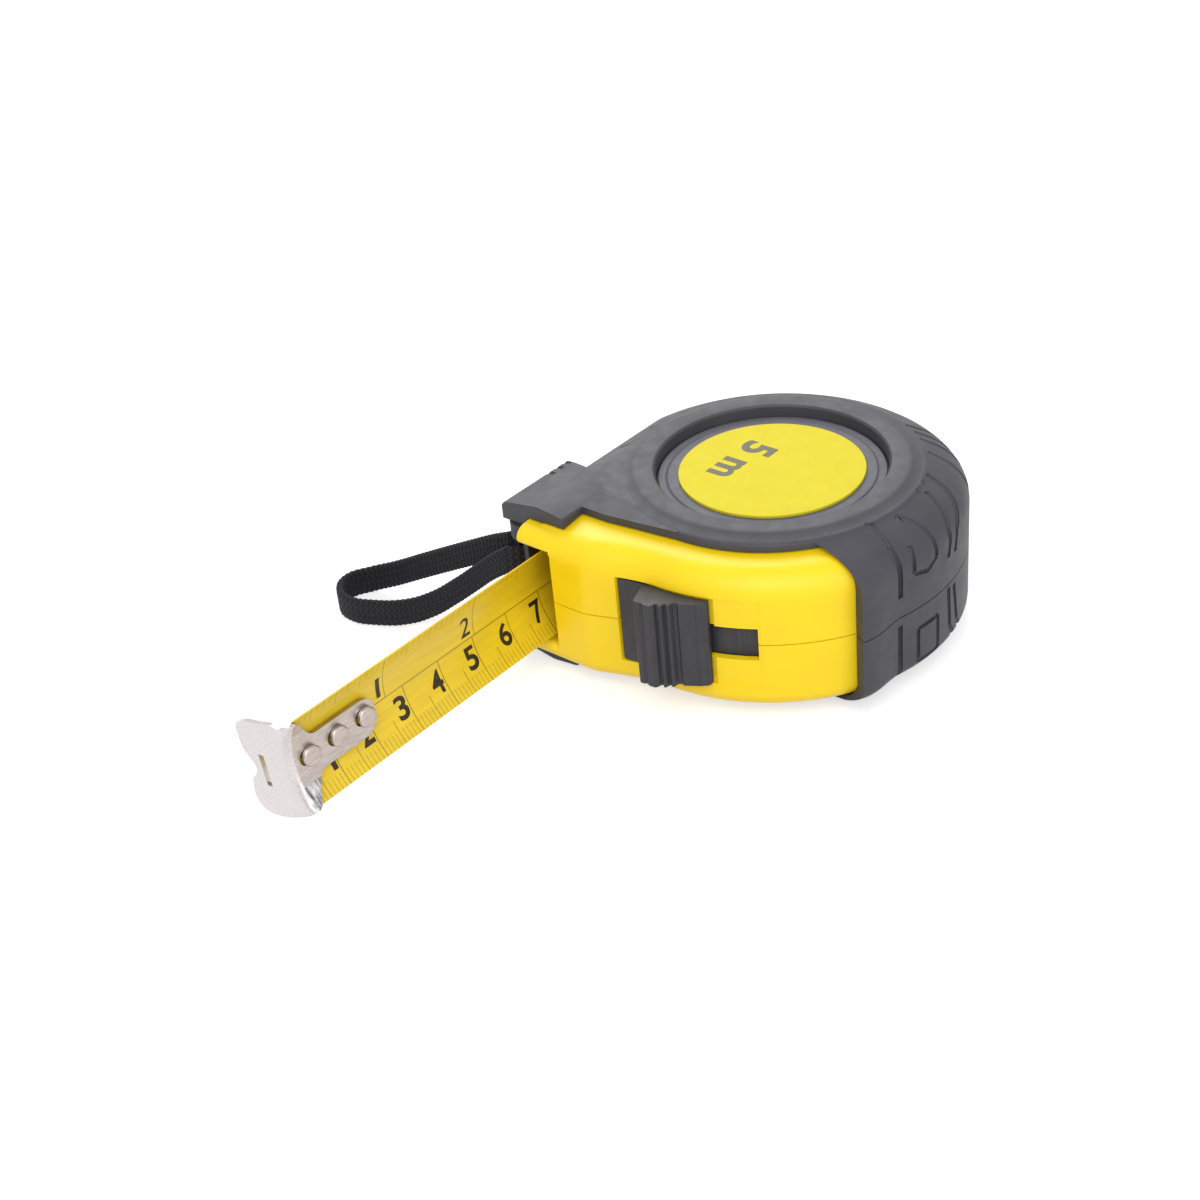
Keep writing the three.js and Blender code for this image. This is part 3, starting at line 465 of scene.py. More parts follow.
def ringSector(inner, outer, start, end, bottom, top):
    steps = round((end - start) / 2)
    return slab([*corners(polar(outer, start)[:2]), ("turn", end - start, steps),
                 *corners(polar(inner, end)[:2]), ("turn", start - end, steps)], bottom, top)


def ease(share):
    return share * share * (3 - 2 * share)


def asObject(bm, name):
    mesh = bpy.data.meshes.new(name)
    bm.to_mesh(mesh)
    bm.free()
    thing = bpy.data.objects.new(name, mesh)
    scene.collection.objects.link(thing)
    return thing


def shownMesh(thing):
    # The mesh that an object shows, modifiers included, as a new bmesh
    mesh = bpy.data.meshes.new_from_object(thing.evaluated_get(bpy.context.evaluated_depsgraph_get()))
    bm = bmesh.new()
    bm.from_mesh(mesh)
    bpy.data.meshes.remove(mesh)
    return bm


def curveMesh(curve):
    # Turns a curve or text into a bmesh and removes the curve
    holder = bpy.data.objects.new("holder", curve)
    scene.collection.objects.link(holder)
    bm = shownMesh(holder)
    bpy.data.objects.remove(holder)
    bpy.data.curves.remove(curve)
    return bm


def combine(base, operation, *others):
    # Joins, cuts or intersects solids with the boolean modifier and gives the new solid
    for other in others:
        first, second = asObject(base, "first"), asObject(other, "second")
        modifier = first.modifiers.new("combine", "BOOLEAN")
        modifier.operation = operation
        modifier.solver = "MANIFOLD"
        modifier.object = second
        base = shownMesh(first)
        for thing in (first, second):
            mesh = thing.data
            bpy.data.objects.remove(thing)
            bpy.data.meshes.remove(mesh)
    return base


def mirrored(bm):
    # The same solid on the other side of the mid-plane
    return moved(bm, Matrix.Scale(-1, 4, (0, 0, 1)))


def finishPiece(bm, name, material, body, replaced=None, place=caseToRow, sharp=32, edge=0.0):
    # Turns a solid in millimetres into a finished piece, smooth but for its sharp edges
    bmesh.ops.remove_doubles(bm, verts=bm.verts[:], dist=0.0005)
    for face in bm.faces:
        face.smooth = True
    for line in bm.edges:
        line.smooth = line.calc_face_angle(0.0) < radians(sharp)
    bmesh.ops.transform(bm, matrix=place, verts=bm.verts[:])
    piece = asObject(bm, name)
    for one in material if isinstance(material, list) else [material]:
        piece.data.materials.append(one)
    if edge > 0:
        bevel = piece.modifiers.new("edges", "BEVEL")
        bevel.width = edge / 1000
        bevel.segments = 2
        bevel.limit_method = "ANGLE"
        bevel.angle_limit = radians(sharp)
        bevel.harden_normals = True
        bevel.miter_outer = "MITER_ARC"
    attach(piece, body)
    if replaced:
        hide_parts(replaced)
    return piece


# Wrist strap: a flat braid of its whole length, out of the foot, down to the floor and back
strapSizes = {
    "width": 6.4, "thickness": 1.5, "step": 0.42, "plait": 1.25, "bulge": 0.035,
    # half of the rounded edge of its section, as (share of half the thickness, drop from the edge)
    "edge": [(0.0, 0.0), (0.55, 0.12), (0.9, 0.45), (1.0, 1.0), (1.0, 2.2)],
    "route": [
        (-42.3, 37.6, 4.6), (-42.5, 42, 1.6), (-42.9, 47, -2.6), (-44.1, 53, -7.6), (-45.9, 59, -12),
        (-48.4, 65.4, -14.9), (-51.6, 71.4, -15.4), (-53.5, 77.4, -15.4), (-51.7, 82.6, -15.4),
        (-47, 84.6, -15.4), (-42.4, 82.4, -15.4), (-39.6, 76.6, -13.4), (-38.3, 69, -9.6),
        (-37.8, 61, -5.4), (-37.6, 53, -1.2), (-37.5, 46, 2.4), (-37.4, 41, 4.6),
    ],
    # inside the foot, round the pin, at the height of the route's ends
    "turn": [(-42.3, 37.6), (-42.0, 36.3), (-41.0, 35.1), (-39.5, 34.5), (-38.0, 34.4), (-36.8, 35.0),
             (-36.2, 36.3), (-36.3, 37.8), (-36.8, 39.4), (-37.4, 41)],
}


def smoothRoute(points, resolution=14):
    # A smooth line through the points, from a Bezier curve with automatic handles
    curve = bpy.data.curves.new("route", "CURVE")
    curve.dimensions = "3D"
    curve.resolution_u = resolution
    spline = curve.splines.new("BEZIER")
    spline.bezier_points.add(len(points) - 1)
    for knot, point in zip(spline.bezier_points, points):
        knot.co = point
        knot.handle_left_type = knot.handle_right_type = "AUTO"
    bm = curveMesh(curve)
    line = [vert.co.copy() for vert in bm.verts]
    bm.free()
    return line


def evenly(line, step):
    # The same line in equal steps, and its length
    lengths = [0.0]
    for a, b in zip(line, line[1:]):
        lengths.append(lengths[-1] + (b - a).length)
    count = round(lengths[-1] / step)
    even, k = [], 0
    for i in range(count + 1):
        wanted = lengths[-1] * i / count
        while k < len(line) - 2 and lengths[k + 1] < wanted:
            k += 1
        share = (wanted - lengths[k]) / max(lengths[k + 1] - lengths[k], 1e-9)
        even.append(line[k].lerp(line[k + 1], share))
    return even, lengths[-1]


def strapSection(size):
    # A flat rounded section, traced clockwise with its width upright, and the way round it to each point
    halfWide, halfThick = size["width"] / 2, size["thickness"] / 2
    quarter = [(halfThick * share, halfWide - drop) for share, drop in size["edge"]]
    section = quarter + [(halfThick, 0.0)] + [(x, -z) for x, z in reversed(quarter[1:])]
    section = section + [(0.0, -halfWide)] + [(-x, z) for x, z in reversed(section[1:])]
    reach = [0.0]
    for a, b in zip(section, section[1:] + section[:1]):
        reach.append(reach[-1] + hypot(b[0] - a[0], b[1] - a[1]))
    return section, reach


def braidAlong(size, route):
    # The flat braid along a route, with its middle line and length
    line, length = evenly(smoothRoute([Vector(point) for point in route]), size["step"])
    section, reach = strapSection(size)
    frames = []
    for i, point in enumerate(line):
        ahead = (line[min(i + 1, len(line) - 1)] - line[max(i - 1, 0)]).normalized()
        side = Vector((ahead.y, -ahead.x, 0)).normalized()
        swell = 1 + size["bulge"] * sin(2 * pi * i * size["step"] / size["plait"])
        frames.append(axes(side * swell, ahead, Vector((0, 0, swell)), point))
    bm = bmesh.new()
    along, around = bm.verts.layers.float.new("along"), bm.verts.layers.float.new("around")
    ring = [bm.verts.new(frames[0] @ Vector((x, 0, z))) for x, z in section]
    for vert, far in zip(ring, reach):
        vert[around] = far
    edges = [bm.edges.new(pair) for pair in zip(ring, ring[1:] + ring[:1])]
    bmesh.ops.contextual_create(bm, geom=edges)
    for i in range(1, len(frames)):
        out = bmesh.ops.extrude_edge_only(bm, edges=edges)["geom"]
        verts = set(vertsOf(out))
        edges = [part for part in out if isinstance(part, bmesh.types.BMEdge) and set(part.verts) <= verts]
        bmesh.ops.transform(bm, matrix=frames[i] @ frames[i - 1].inverted(), verts=list(verts))
        for vert in verts:
            vert[along] = i * length / (len(frames) - 1)
    bmesh.ops.contextual_create(bm, geom=edges)
    outward(bm)
    uv = bm.loops.layers.uv.new("braid")
    for face in bm.faces:
        widest = max(loop.vert[around] for loop in face.loops)
        for loop in face.loops:
            far = loop.vert[around]
            far += reach[-1] if widest - far > reach[-1] / 2 else 0  # the seam's last column
            loop[uv].uv = (loop.vert[along], far)
    return bm, line, length


def makeStrap(size):
    bm, line, length = braidAlong(size, size["route"])
    strap = finishPiece(bm, "wrist_strap_braid", nylonBraid, "case", "wrist_strap", sharp=60)
    turn = braidAlong(size, [(x, y, size["route"][0][2]) for x, y in size["turn"]])[0]
    finishPiece(turn, "wrist_strap_turn", nylonBraid, "case", sharp=60)
    print(f"strap made, {length:.1f} mm long")


makeStrap(strapSizes)

# Yellow case halves
shellSizes = {
    "frontRadius": 40.3, "rearRadius": 38.0, "baseReach": 37.1, "noseReach": 44.4, "noseTop": 16.5,
    "noseHandles": [(0.0, 13.3), (4.1, 7.0)], "noseAngle": 183, "armEnd": 32.1, "backEdge": -27.7,
    "gripAngle": 242, "parting": 0.12, "wallTop": 9.5, "shoulder": 6.0, "domeInset": 9.3, "domeRise": 6.4,
    "wall": 1.6, "cavityTop": 13.6, "edge": 0.28,
    "mouthLip": 23.6, "mouthTop": 11.1, "mouthBack": -28.0, "throatEnd": -25.8, "throatFar": 32.4,
    "pocketFloor": 39.5, "pocket": (168.5, 198.6), "panelFloor": 40.12, "panelEnd": 211.6, "pocketTop": 10.0,
    "slot": (174.5, 210.9), "slotTop": 3.7,
    "capSeat": 24.9, "capFloor": 14.9, "lowerDrop": 2.5,
    "lipRound": 1.5, "lipTop": 14.9, "lipFade": 18.0, "lipLow": 10.6, "lipBack": -36.0,
    # screw bosses: their radius, bore, the depth of a blind bore, and the wells for the heads
    "boss": 3.4, "bore": 1.6, "boreTop": 8.3, "well": 2.9,
    "screws": [(42.5, 155.8), (34.2, 222), (31.6, 315), (31.6, 30)],
}


def quarterRound(radius, steps):
    # (inset, rise) of a round edge
    turns = [pi / 2 * i / steps for i in range(steps + 1)]
    return [(radius * (1 - cos(turn)), radius * sin(turn)) for turn in turns]


def caseStops(size, grow=0.0):
    # Outline of the yellow case, grown by so much
    front, rear = size["frontRadius"] + grow, size["rearRadius"] + grow
    base, nose = size["baseReach"] + grow, size["noseReach"] + grow
    edge, arm = size["backEdge"] - grow, size["armEnd"] + grow
    meet = degrees(asin(base / rear))
    handles = [Vector((-nose + back, height)) for back, height in size["noseHandles"]]
    foot = polar(front, size["noseAngle"]).to_2d()
    blend = interpolate_bezier(Vector((-nose, size["noseTop"])), *handles, foot, 14)
    rearStart = polar(rear, size["gripAngle"])
    return [
        *corners((edge, base), (edge, arm), (-nose, arm), *[point[:2] for point in blend]),
        ("turn", size["gripAngle"] - size["noseAngle"], 24),
        ("corner", rearStart.x, rearStart.y),
        ("turn", 360 + meet - size["gripAngle"], 78),
    ]


def crownLevels(size, lower, grow=0.0):
    # The outlines over the rounded shoulder, which is tighter on the lower side, and the slight dome
    drop = size["lowerDrop"] if lower else 0
    levels = quarterRound(size["shoulder"] - drop, 9) + [(size["domeInset"], size["domeRise"] - drop)]
    return [(caseStops(size, grow - inset), size["wallTop"] + drop + grow + rise) for inset, rise in levels]


def lipCutter(size):
    # Rounds the end of the mouth's lip, where it juts out over the blade
    radius = size["lipRound"]
    x, z = -size["noseReach"] + radius, size["mouthTop"] + radius
    roller = rod(radius, -42, -20, sides=48)
    roller = moved(roller, Matrix.Translation((x, 0, z)) @ tipped)
    return combine(box((x - 4, size["mouthLip"] + 0.3, z - 4), (x, 40, z)), "DIFFERENCE", roller)


def lipBar(size, grow=0.0):
    # Fills out the lip over the blade to a fuller round, which fades into the shoulder of the nose
    front, back, low = -size["noseReach"] - grow, size["lipBack"], size["lipLow"]
    crown = size["wallTop"] + size["shoulder"] + grow
    ends = []
    # width and height of the round, its top, the angles it runs between, and where along the lip
    for wide, high, top, first, last, along in (
            (3.0, 2.5, size["lipTop"] + grow, 0, 90, size["armEnd"] + grow),
            (size["shoulder"], size["shoulder"], crown - 0.1, 13, 62, size["lipFade"])):
        turns = [radians(first + (last - first) * i / 12) for i in range(13)]
        curve = [(front + wide * (1 - cos(turned)), top - high * (1 - sin(turned))) for turned in turns]
        ends.append((corners((back, low), (front + 0.02, low), *curve, (back, crown - 0.05)), along))
    return moved(loft(ends), axes((1, 0, 0), (0, 0, 1), (0, 1, 0)))


def mouthCutters(size):
    back, lip, top = size["mouthBack"], size["mouthLip"], size["mouthTop"]
    return [box((-50, lip, -2), (back, 36, top)),
            box((back - 2, lip, -2), (size["throatEnd"], size["throatFar"], top)), lipCutter(size)]


def lockCutters(size):
    # The recess of the lock button, the shallow panel behind it and the slot for its neck
    start, end = size["pocket"]
    return [ringSector(size["pocketFloor"], 48, start, end, -2, size["pocketTop"]),
            ringSector(size["panelFloor"], 48, end - 1, size["panelEnd"], -2, size["pocketTop"]),
            ringSector(34, 48, *size["slot"], -2, size["slotTop"])]


def shellHalf(size, lower):
    end = "lower" if lower else "upper"
    half = loft([(caseStops(size), size["parting"])] + crownLevels(size, lower))
    ceiling = size["cavityTop"] - size["shoulder"]
    hollow = loft([(caseStops(size, -size["wall"] - inset), height) for inset, height in (
        (0, -2), (0, ceiling), (1.0, ceiling + 3), (4.4, size["cavityTop"]))])
    half = combine(combine(half, "UNION", lipBar(size)), "DIFFERENCE", hollow)
    places = [polar(*place)[:2] for place in size["screws"]]
    half = combine(half, "UNION", *[
        rod(size["boss"], size["parting"], size["cavityTop"] + 0.3, place, sides=32) for place in places])
    boreTop = 18 if lower else size["boreTop"]
    half = combine(half, "DIFFERENCE", *mouthCutters(size), *lockCutters(size),
                   rod(size["capSeat"], size["capFloor"], 18),
                   *[rod(size["bore"], -2, boreTop, place, sides=24) for place in places])
    if lower:
        wells = [rod(size["well"], size["cavityTop"], 18, place, sides=48) for place in places]
        half = mirrored(combine(half, "DIFFERENCE", *wells))
    finishPiece(half, f"case_half_{end}", yellowAbs, "case", f"case_{end}_shell",
                edge=size["edge"])
    print("case half made:", end)


shellHalf(shellSizes, False)
shellHalf(shellSizes, True)

# Rubber grip halves
gripSizes = {
    "radius": 40.3, "baseReach": 39.4, "startAngle": 238.4, "ribHeight": 3.4, "ribAngle": 15.6,
    "ribFoot": 29.5, "ribFade": 7.5, "cornerWide": 8.0, "cornerHigh": 6.2, "cornerTop": 17.9,
    "parting": 0.12, "wallTop": 9.5, "backEdge": -28.0, "gap": 0.3, "edge": 0.4,
    # (inset, rise) over the shoulder, and how much tighter and higher it is on the lower side
    "shoulder": [(0, 0), (0.15, 1.3), (0.62, 2.5), (1.45, 3.7), (2.6, 4.85), (3.95, 5.8), (5.27, 6.5),
                 (7.3, 7.4), (9.3, 8.4)],
    "tightness": 0.62, "lowerDrop": 2.5,
    # the flat plate, its corner by the mouth, and the raised ring
    "plateRadius": 32.0, "plateTop": 17.9, "plateCorner": [
        (0, 0), (-32.0, 0), (-34.2, 16.5), (-34.2, 24.6), (-26.8, 24.6), (-26.8, 28.5), (0, 28.5)],
    "crownFoot": 30.6, "ringOuter": 28.5, "ringInner": 24.4, "ringBore": 24.0,
    "lipBottom": 15.3, "lipTop": 17,
    # the ear over the mouth: its section as (y, height) up to the base, its rear end as (x, y)
    "earFront": -40.3, "earRear": -19.5, "earNear": 22.6, "earUnder": 7,
    "earTop": [(22.6, 14.2), (22.6, 17.5), (22.85, 17.85), (23.4, 18.05), (28.9, 18.67), (29.9, 18.67),
               (37.6, 17.4), (38.7, 17.1), (39.4, 16.3)],
    "earEnd": [(-26.7, 22.6), (-25.6, 24.2), (-24.2, 26.6), (-22.9, 29.2), (-21.6, 32.4), (-20.6, 36),
               (-20.1, 39.4)],
    "earHollow": [(-38.3, 13.5), (-38.3, 15.6), (-30.5, 17.0), (-27.2, 17.0), (-27.2, 13.5)],
    "earHollowDepth": 3.0,
    # room for the foot and for the mouth's arm
    "footFront": -41.2, "footTop": 13.2, "armEnd": 32.1, "armTop": 13.9,
    # radius of the grooves, fine lines, dots and notches; how deep they lie, and their lift on the shoulder
    "groove": 0.78, "line": 0.62, "dot": 0.7, "notch": 0.7, "sink": 0.28, "lift": 0.36,
    # each as (angle, height) on the skin, from the wall over the shoulder
    "upperGrooves": [
        ((253, 4.5), (253, 9.5), (253, 14.6)), ((274.8, 6.4), (276.6, 12), (281.7, 15.6), (284, 16.8)),
        ((279.3, 6.1), (280.8, 10.5), (291, 15.4), (294.3, 17.4)),
        ((303, 6.5), (305, 12), (310, 16.2), (311.6, 17.2)),
        ((313, 6.5), (315, 12), (320.2, 16.2), (322.2, 17.2)),
        ((319, 6.5), (321, 12), (326.2, 16.2), (328.2, 17.2)),
        ((326, 6.5), (328, 12), (332.6, 16.2), (334.3, 17.2)),
    ],
    "lowerGrooves": [
        ((252.8, 2.0), (252.8, 9.5), (252.8, 14.6)), ((275, 0.8), (276, 10.5), (280, 15.0)),
        ((278.6, 1.3), (281, 11), (286, 15.4)), ((303, 2.0), (305, 12), (311, 16.8)),
        ((313, 2.0), (315, 12), (321, 16.8)), ((326, 2.0), (328, 12), (334, 16.8)),
    ],
    "upperLines": [
        ((253, 14.2), (253.2, 16.2), (253.4, 17.5)),
        ((258.3, 8.6), (258.6, 11.5), (259.4, 13.6)), ((258.6, 8.5), (264, 7.4), (268.2, 9.2)),
        ((268.2, 9.2), (268.4, 12.4), (268.0, 14.4)),
        ((268.0, 14.4), (267, 16.0), (264.4, 17.0), (262.4, 16.8)),
    ],
    "lowerLines": [
        ((260, 4.9), (260, 12.6)), ((260, 4.9), (269, 4.9)), ((269, 4.9), (269, 12.6)),
        ((260, 12.6), (269, 12.6)),
    ],
    "dots": [(251.6, 17.6), (288, 17.4), (281.5, 17.4)],
    # notches on the ear as (x, y), and at the plate's edge as (angle, radius)
    "earNotches": [(-26.2, 37.6), (-23.5, 37.6), (-21.0, 37.6)],
    "edgeNotches": [(104.2, 33.4), (97.2, 33.0), (91.2, 32.6)],
}


def gripOutline(size, inset=0.0):
    # Round at the rear, flat at the base, raised to a rib at the edge that meets the yellow front
    base, radius = size["baseReach"] - inset, size["radius"] - inset
    high = size["ribHeight"] * max(0.0, 1 - inset / size["ribFade"])
    meet = degrees(asin(base / radius))
    start, fall = size["startAngle"], size["ribAngle"]
    # the rib is level where it turns the corner to the plate, and then runs out into the round
    ahead = degrees(size["cornerWide"] / radius) + 0.5
    first = start - ahead
    rib = [polar(radius + high, first + ahead * i / 5)[:2] for i in range(5)]
    rib += [polar(radius + high * (1 - ease(i / 24)), start + fall * i / 24)[:2] for i in range(25)]
    return [*corners((size["backEdge"] - 14, base), (size["backEdge"] - 14, 0),
                     polar(size["ribFoot"], first)[:2], *rib), ("turn", 360 + meet - start - fall, 74)]


def shoulderOf(size, lower):
    if not lower:
        return size["shoulder"]
    drop, tight, last = size["lowerDrop"], size["tightness"], size["shoulder"][-1]
    rises = [(inset * tight, drop + rise * tight) for inset, rise in size["shoulder"][:-2]]
    # the last level has to lie above the one before
    return [(0, 0), *rises, last, (last[0] + 0.5, last[1] + 0.001)]


def skinPoint(shoulder, size, angle, height):
    rise = height - size["wallTop"]
    for (insetA, riseA), (insetB, riseB) in zip(shoulder, shoulder[1:]):
        if rise <= riseB:
            inset = insetA + (insetB - insetA) * max(0.0, rise - riseA) / max(riseB - riseA, 0.001)
            break
    # sunk into the wall, and lifted where the rubber is thin over the shoulder
    share = min(1.0, max(0.0, rise / shoulder[-3][1]))
    return polar(size["radius"] - inset - size["sink"] * (1 - share), angle, height + size["lift"] * share)


def skinRoute(shoulder, size, stops):
    route = []
    for start, end in zip(stops, stops[1:]):
        for i in range(10):
            place = [a + (b - a) * i / 10 for a, b in zip(start, end)]
            route.append(skinPoint(shoulder, size, *place))
    return route + [skinPoint(shoulder, size, *stops[-1])]


def lipCorner(size):
    # Cuts the rubber back to the rib's edge, with a round corner up to the plate's edge
    wide, high, top = size["cornerWide"], size["cornerHigh"], size["cornerTop"]
    curve = [(-wide * inset, top - high * (1 - rise)) for inset, rise in quarterRound(1, 12)]
    block = slab(corners(*curve, (-wide, 25), (-wide - 20, 25), (-wide - 20, -2), (0, -2)), 20, 60)
    out = polar(1, size["startAngle"])
    return moved(block, axes((-out.y, out.x, 0), (0, 0, 1), out))


def tube(route, radius):
    # A round cutter along a route
    curve = bpy.data.curves.new("groove", "CURVE")
    curve.dimensions = "3D"
    curve.bevel_depth = radius
    curve.bevel_resolution = 2
    curve.use_fill_caps = True
    spline = curve.splines.new("POLY")
    spline.points.add(len(route) - 1)
    for knot, point in zip(spline.points, route):
        knot.co = (*point, 1)
    bm = curveMesh(curve)
    bmesh.ops.remove_doubles(bm, verts=bm.verts[:], dist=0.0001)
    return outward(bm)


def dent(place, radius):
    bm = bmesh.new()
    bmesh.ops.create_icosphere(bm, subdivisions=2, radius=radius, matrix=Matrix.Translation(place))
    return bm


def ringPlate(size):
    # The flat plate over the case with the raised ring on it, still without its bore
    bottom, edge, top, ring = size["parting"], size["plateRadius"], size["plateTop"], size["ringOuter"]
    return lathe([
        (20, bottom), (edge, bottom), (edge, top - 0.6), (edge - 0.2, top - 0.25), (edge - 0.6, top - 0.02),
        (size["crownFoot"], top + 0.02), (ring + 0.5, restHalf - 0.2), (ring + 0.1, restHalf - 0.03),
        (ring - 0.5, restHalf), (20, restHalf)], 144)


def ringBore(size):
    bore, inner = size["ringBore"], size["ringInner"]
    return lathe([
        (0, -1), (bore, -1), (bore + 0.1, 15.5), (inner - 0.1, restHalf - 0.5),
        (inner + 0.25, restHalf - 0.08), (inner + 0.9, restHalf + 0.1), (inner + 0.9, 20), (0, 20)], 144)


def ringLip(size):
    # A thin lip inside the ring, which holds the cap
    bore, low, high = size["ringBore"], size["lipBottom"], size["lipTop"]
    return lathe([(bore, low), (bore + 0.65, low), (bore + 0.65, high), (bore + 0.15, high)], 144)


def earBlock(size, foot):
    # The ear over the mouth, filled down to the wall at the base and hollow under its near face
    near, far, front = size["earNear"], size["baseReach"], size["earFront"]
    section = corners(*size["earTop"], (far, foot), (far - size["earUnder"], foot))
    ear = moved(slab(section, front, size["earRear"]), axes((0, 1, 0), (0, 0, 1), (1, 0, 0)))
    ear = combine(ear, "INTERSECT", slab(corners((front, near), *size["earEnd"], (front, far)), 5, 19))
    hollow = slab(corners(*size["earHollow"]), -near - size["earHollowDepth"], -near + 1)
    return combine(ear, "DIFFERENCE", moved(hollow, tipped))


def grooveCutters(size, shoulder, lower):
    end = "lower" if lower else "upper"
    cutters = [tube(skinRoute(shoulder, size, stops), size["groove"]) for stops in size[end + "Grooves"]]
    cutters += [tube(skinRoute(shoulder, size, stops), size["line"]) for stops in size[end + "Lines"]]
    cutters += [dent(skinPoint(shoulder, size, *place), size["dot"]) for place in size["dots"]]
    if not lower:
        notches = [((x, y - 0.7, 17.9), (x, y + 2.6, 16.6)) for x, y in size["earNotches"]]
        notches += [(polar(radius - 1.2, angle, 18.1), polar(radius + 1.6, angle, 16.6))
                    for angle, radius in size["edgeNotches"]]
        cutters += [tube(notch, size["notch"]) for notch in notches]
    return cutters


def gripHalf(size, lower):
    end, shell, back = "lower" if lower else "upper", shellSizes, size["backEdge"]
    shoulder = shoulderOf(size, lower)
    rear = loft([(gripOutline(size), size["parting"])] + [
        (gripOutline(size, inset), size["wallTop"] + rise) for inset, rise in shoulder])
    rear = combine(rear, "DIFFERENCE", box((-60, -60, -2), (back, 60, 20)), lipCorner(size))
    plateCorner = slab(corners(*size["plateCorner"]), size["parting"], size["plateTop"] - 0.03)
    ear = earBlock(size, size["wallTop"] + shoulder[1][1])
    half = combine(rear, "UNION", ringPlate(size), plateCorner, ear)
    # room for the yellow half, the foot and the arm
    clearance = loft([(caseStops(shell, size["gap"]), -2)] + crownLevels(shell, lower, size["gap"]))
    half = combine(half, "DIFFERENCE", clearance, lipBar(shell, size["gap"]), ringBore(size),
                   box((size["footFront"] - 5, size["armEnd"], -2), (back + 0.3, 45, size["footTop"])),
                   box((-60, -2, -2), (back + 0.3, size["armEnd"], size["armTop"])))
    half = combine(half, "UNION", ringLip(size))
    half = combine(half, "DIFFERENCE", *grooveCutters(size, shoulder, lower))
    if lower:
        places = [polar(*place)[:2] for place in shell["screws"][2:]]
        half = mirrored(combine(half, "DIFFERENCE", *[
            rod(shell["well"] + 0.1, 0, 20, place, sides=48) for place in places]))
    finishPiece(half, f"grip_skin_{end}", overmouldedRubber, "case", f"grip_{end}",
                edge=size["edge"])
    print("grip half made:", end)


gripHalf(gripSizes, False)
gripHalf(gripSizes, True)

# Side caps and labels in the rings
capSizes = {
    "radius": 23.7, "flange": 24.6, "seat": 15.0, "floor": 15.2, "top": 16.2, "gutter": 21.9,
    "gutterDepth": 0.25,
}
labelSizes = {
    "radius": 19.4, "floor": 16.25, "top": 16.8, "text": "5 m", "height": 7.9, "width": 15.8,
    "weight": 0.032, "place": (-0.3, 7.2), "inkDepth": 0.03,
}


def makeText(body, height, width, depth, weight):
    # Text as a closed mesh that fills a box of width by height from its lower left corner
    curve = bpy.data.curves.new("text", "FONT")
    curve.body = body
    curve.extrude = 0.05
    curve.offset = weight
    curve.resolution_u = 6
    bm = curveMesh(curve)
    bmesh.ops.remove_doubles(bm, verts=bm.verts[:], dist=0.00001)
    low = [min(vert.co[axis] for vert in bm.verts) for axis in range(3)]
    high = [max(vert.co[axis] for vert in bm.verts) for axis in range(3)]
    scales = [wanted / (b - a) for wanted, a, b in zip((width, height, depth), low, high)]
    bmesh.ops.translate(bm, vec=[-value for value in low], verts=bm.verts[:])
    bmesh.ops.scale(bm, vec=scales, verts=bm.verts[:])
    return bm


def capDisc(size):
    edge, top, gutter = size["radius"], size["top"], size["gutter"]
    return lathe([
        (0, size["seat"]), (size["flange"], size["seat"]), (size["flange"], size["floor"]),
        (edge, size["floor"]), (edge, top - 0.2), (edge - 0.2, top), (gutter + 0.3, top),
        (gutter, top - size["gutterDepth"]), (gutter - 0.3, top), (0, top)])


def labelDisc(size):
    edge, floor, top = size["radius"], size["floor"], size["top"]
    return lathe([(0, floor), (edge, floor), (edge, top - 0.08), (edge - 0.1, top), (0, top)])


def makeSide(lower):
    end, size = "lower" if lower else "upper", labelSizes
    cap, disc = capDisc(capSizes), labelDisc(size)
    figure = makeText(size["text"], size["height"], size["width"], size["inkDepth"], size["weight"])
    (x, y), top = size["place"], size["top"]
    turn = Matrix.Translation((x, y, top)) @ Matrix.Rotation(pi, 4, "Z")
    if lower:
        turn = Matrix.Translation((-x, y, -top)) @ Matrix.Rotation(pi, 4, "X")
        cap, disc = mirrored(cap), mirrored(disc)
    turn = turn @ Matrix.Translation((-size["width"] / 2, -size["height"] / 2, 0))
    bmesh.ops.transform(figure, matrix=turn, verts=figure.verts[:])
    finishPiece(cap, f"side_cap_disc_{end}", texturedAbs, "case", f"side_cap_{end}", sharp=25)
    finishPiece(disc, f"label_{end}", vinylLabel, "case", f"label_disc_{end}", sharp=25)
    finishPiece(figure, f"label_figure_{end}", labelInk, "case")


makeSide(False)
makeSide(True)
print("caps and labels made")

# Black foot under the mouth, with the strap's window
footSizes = {
    "low": (-41.2, 32.4, -12.9), "high": (-28.0, 39.4, 12.9), "edge": 0.5, "cornerRound": 4.5,
    "window": ((-43.2, 33.6, 0.8), (-34.6, 41.4, 9.2)),
    "bar": 1.2, "barPlace": (-38.3, 36.5), "barHeights": (-1.7, 11.7), "barPlay": 0.1,
}


def makeFoot(size):
    (left, near, bottom), (right, far, top) = size["low"], size["high"]
    bend, (start, end), play = size["cornerRound"], size["barHeights"], size["barPlay"]
    curve = [(left + bend * (1 - rise), far - bend * inset) for inset, rise in quarterRound(1, 10)]
    foot = slab(corners((left, near), (right, near), (right, far), *curve), bottom, top)
    foot = combine(foot, "DIFFERENCE", box(*size["window"]),
                   rod(size["bar"] + 0.25, start - play, end + play, size["barPlace"]))
    finishPiece(foot, "foot_block", blackNylon, "case", "mouth_foot", edge=size["edge"])
    bar = rod(size["bar"], start, end, size["barPlace"], sides=32)
    finishPiece(bar, "strap_pin", pinShadeSteel, "case", "strap_bar", edge=0.15)
    print("foot made")


makeFoot(footSizes)

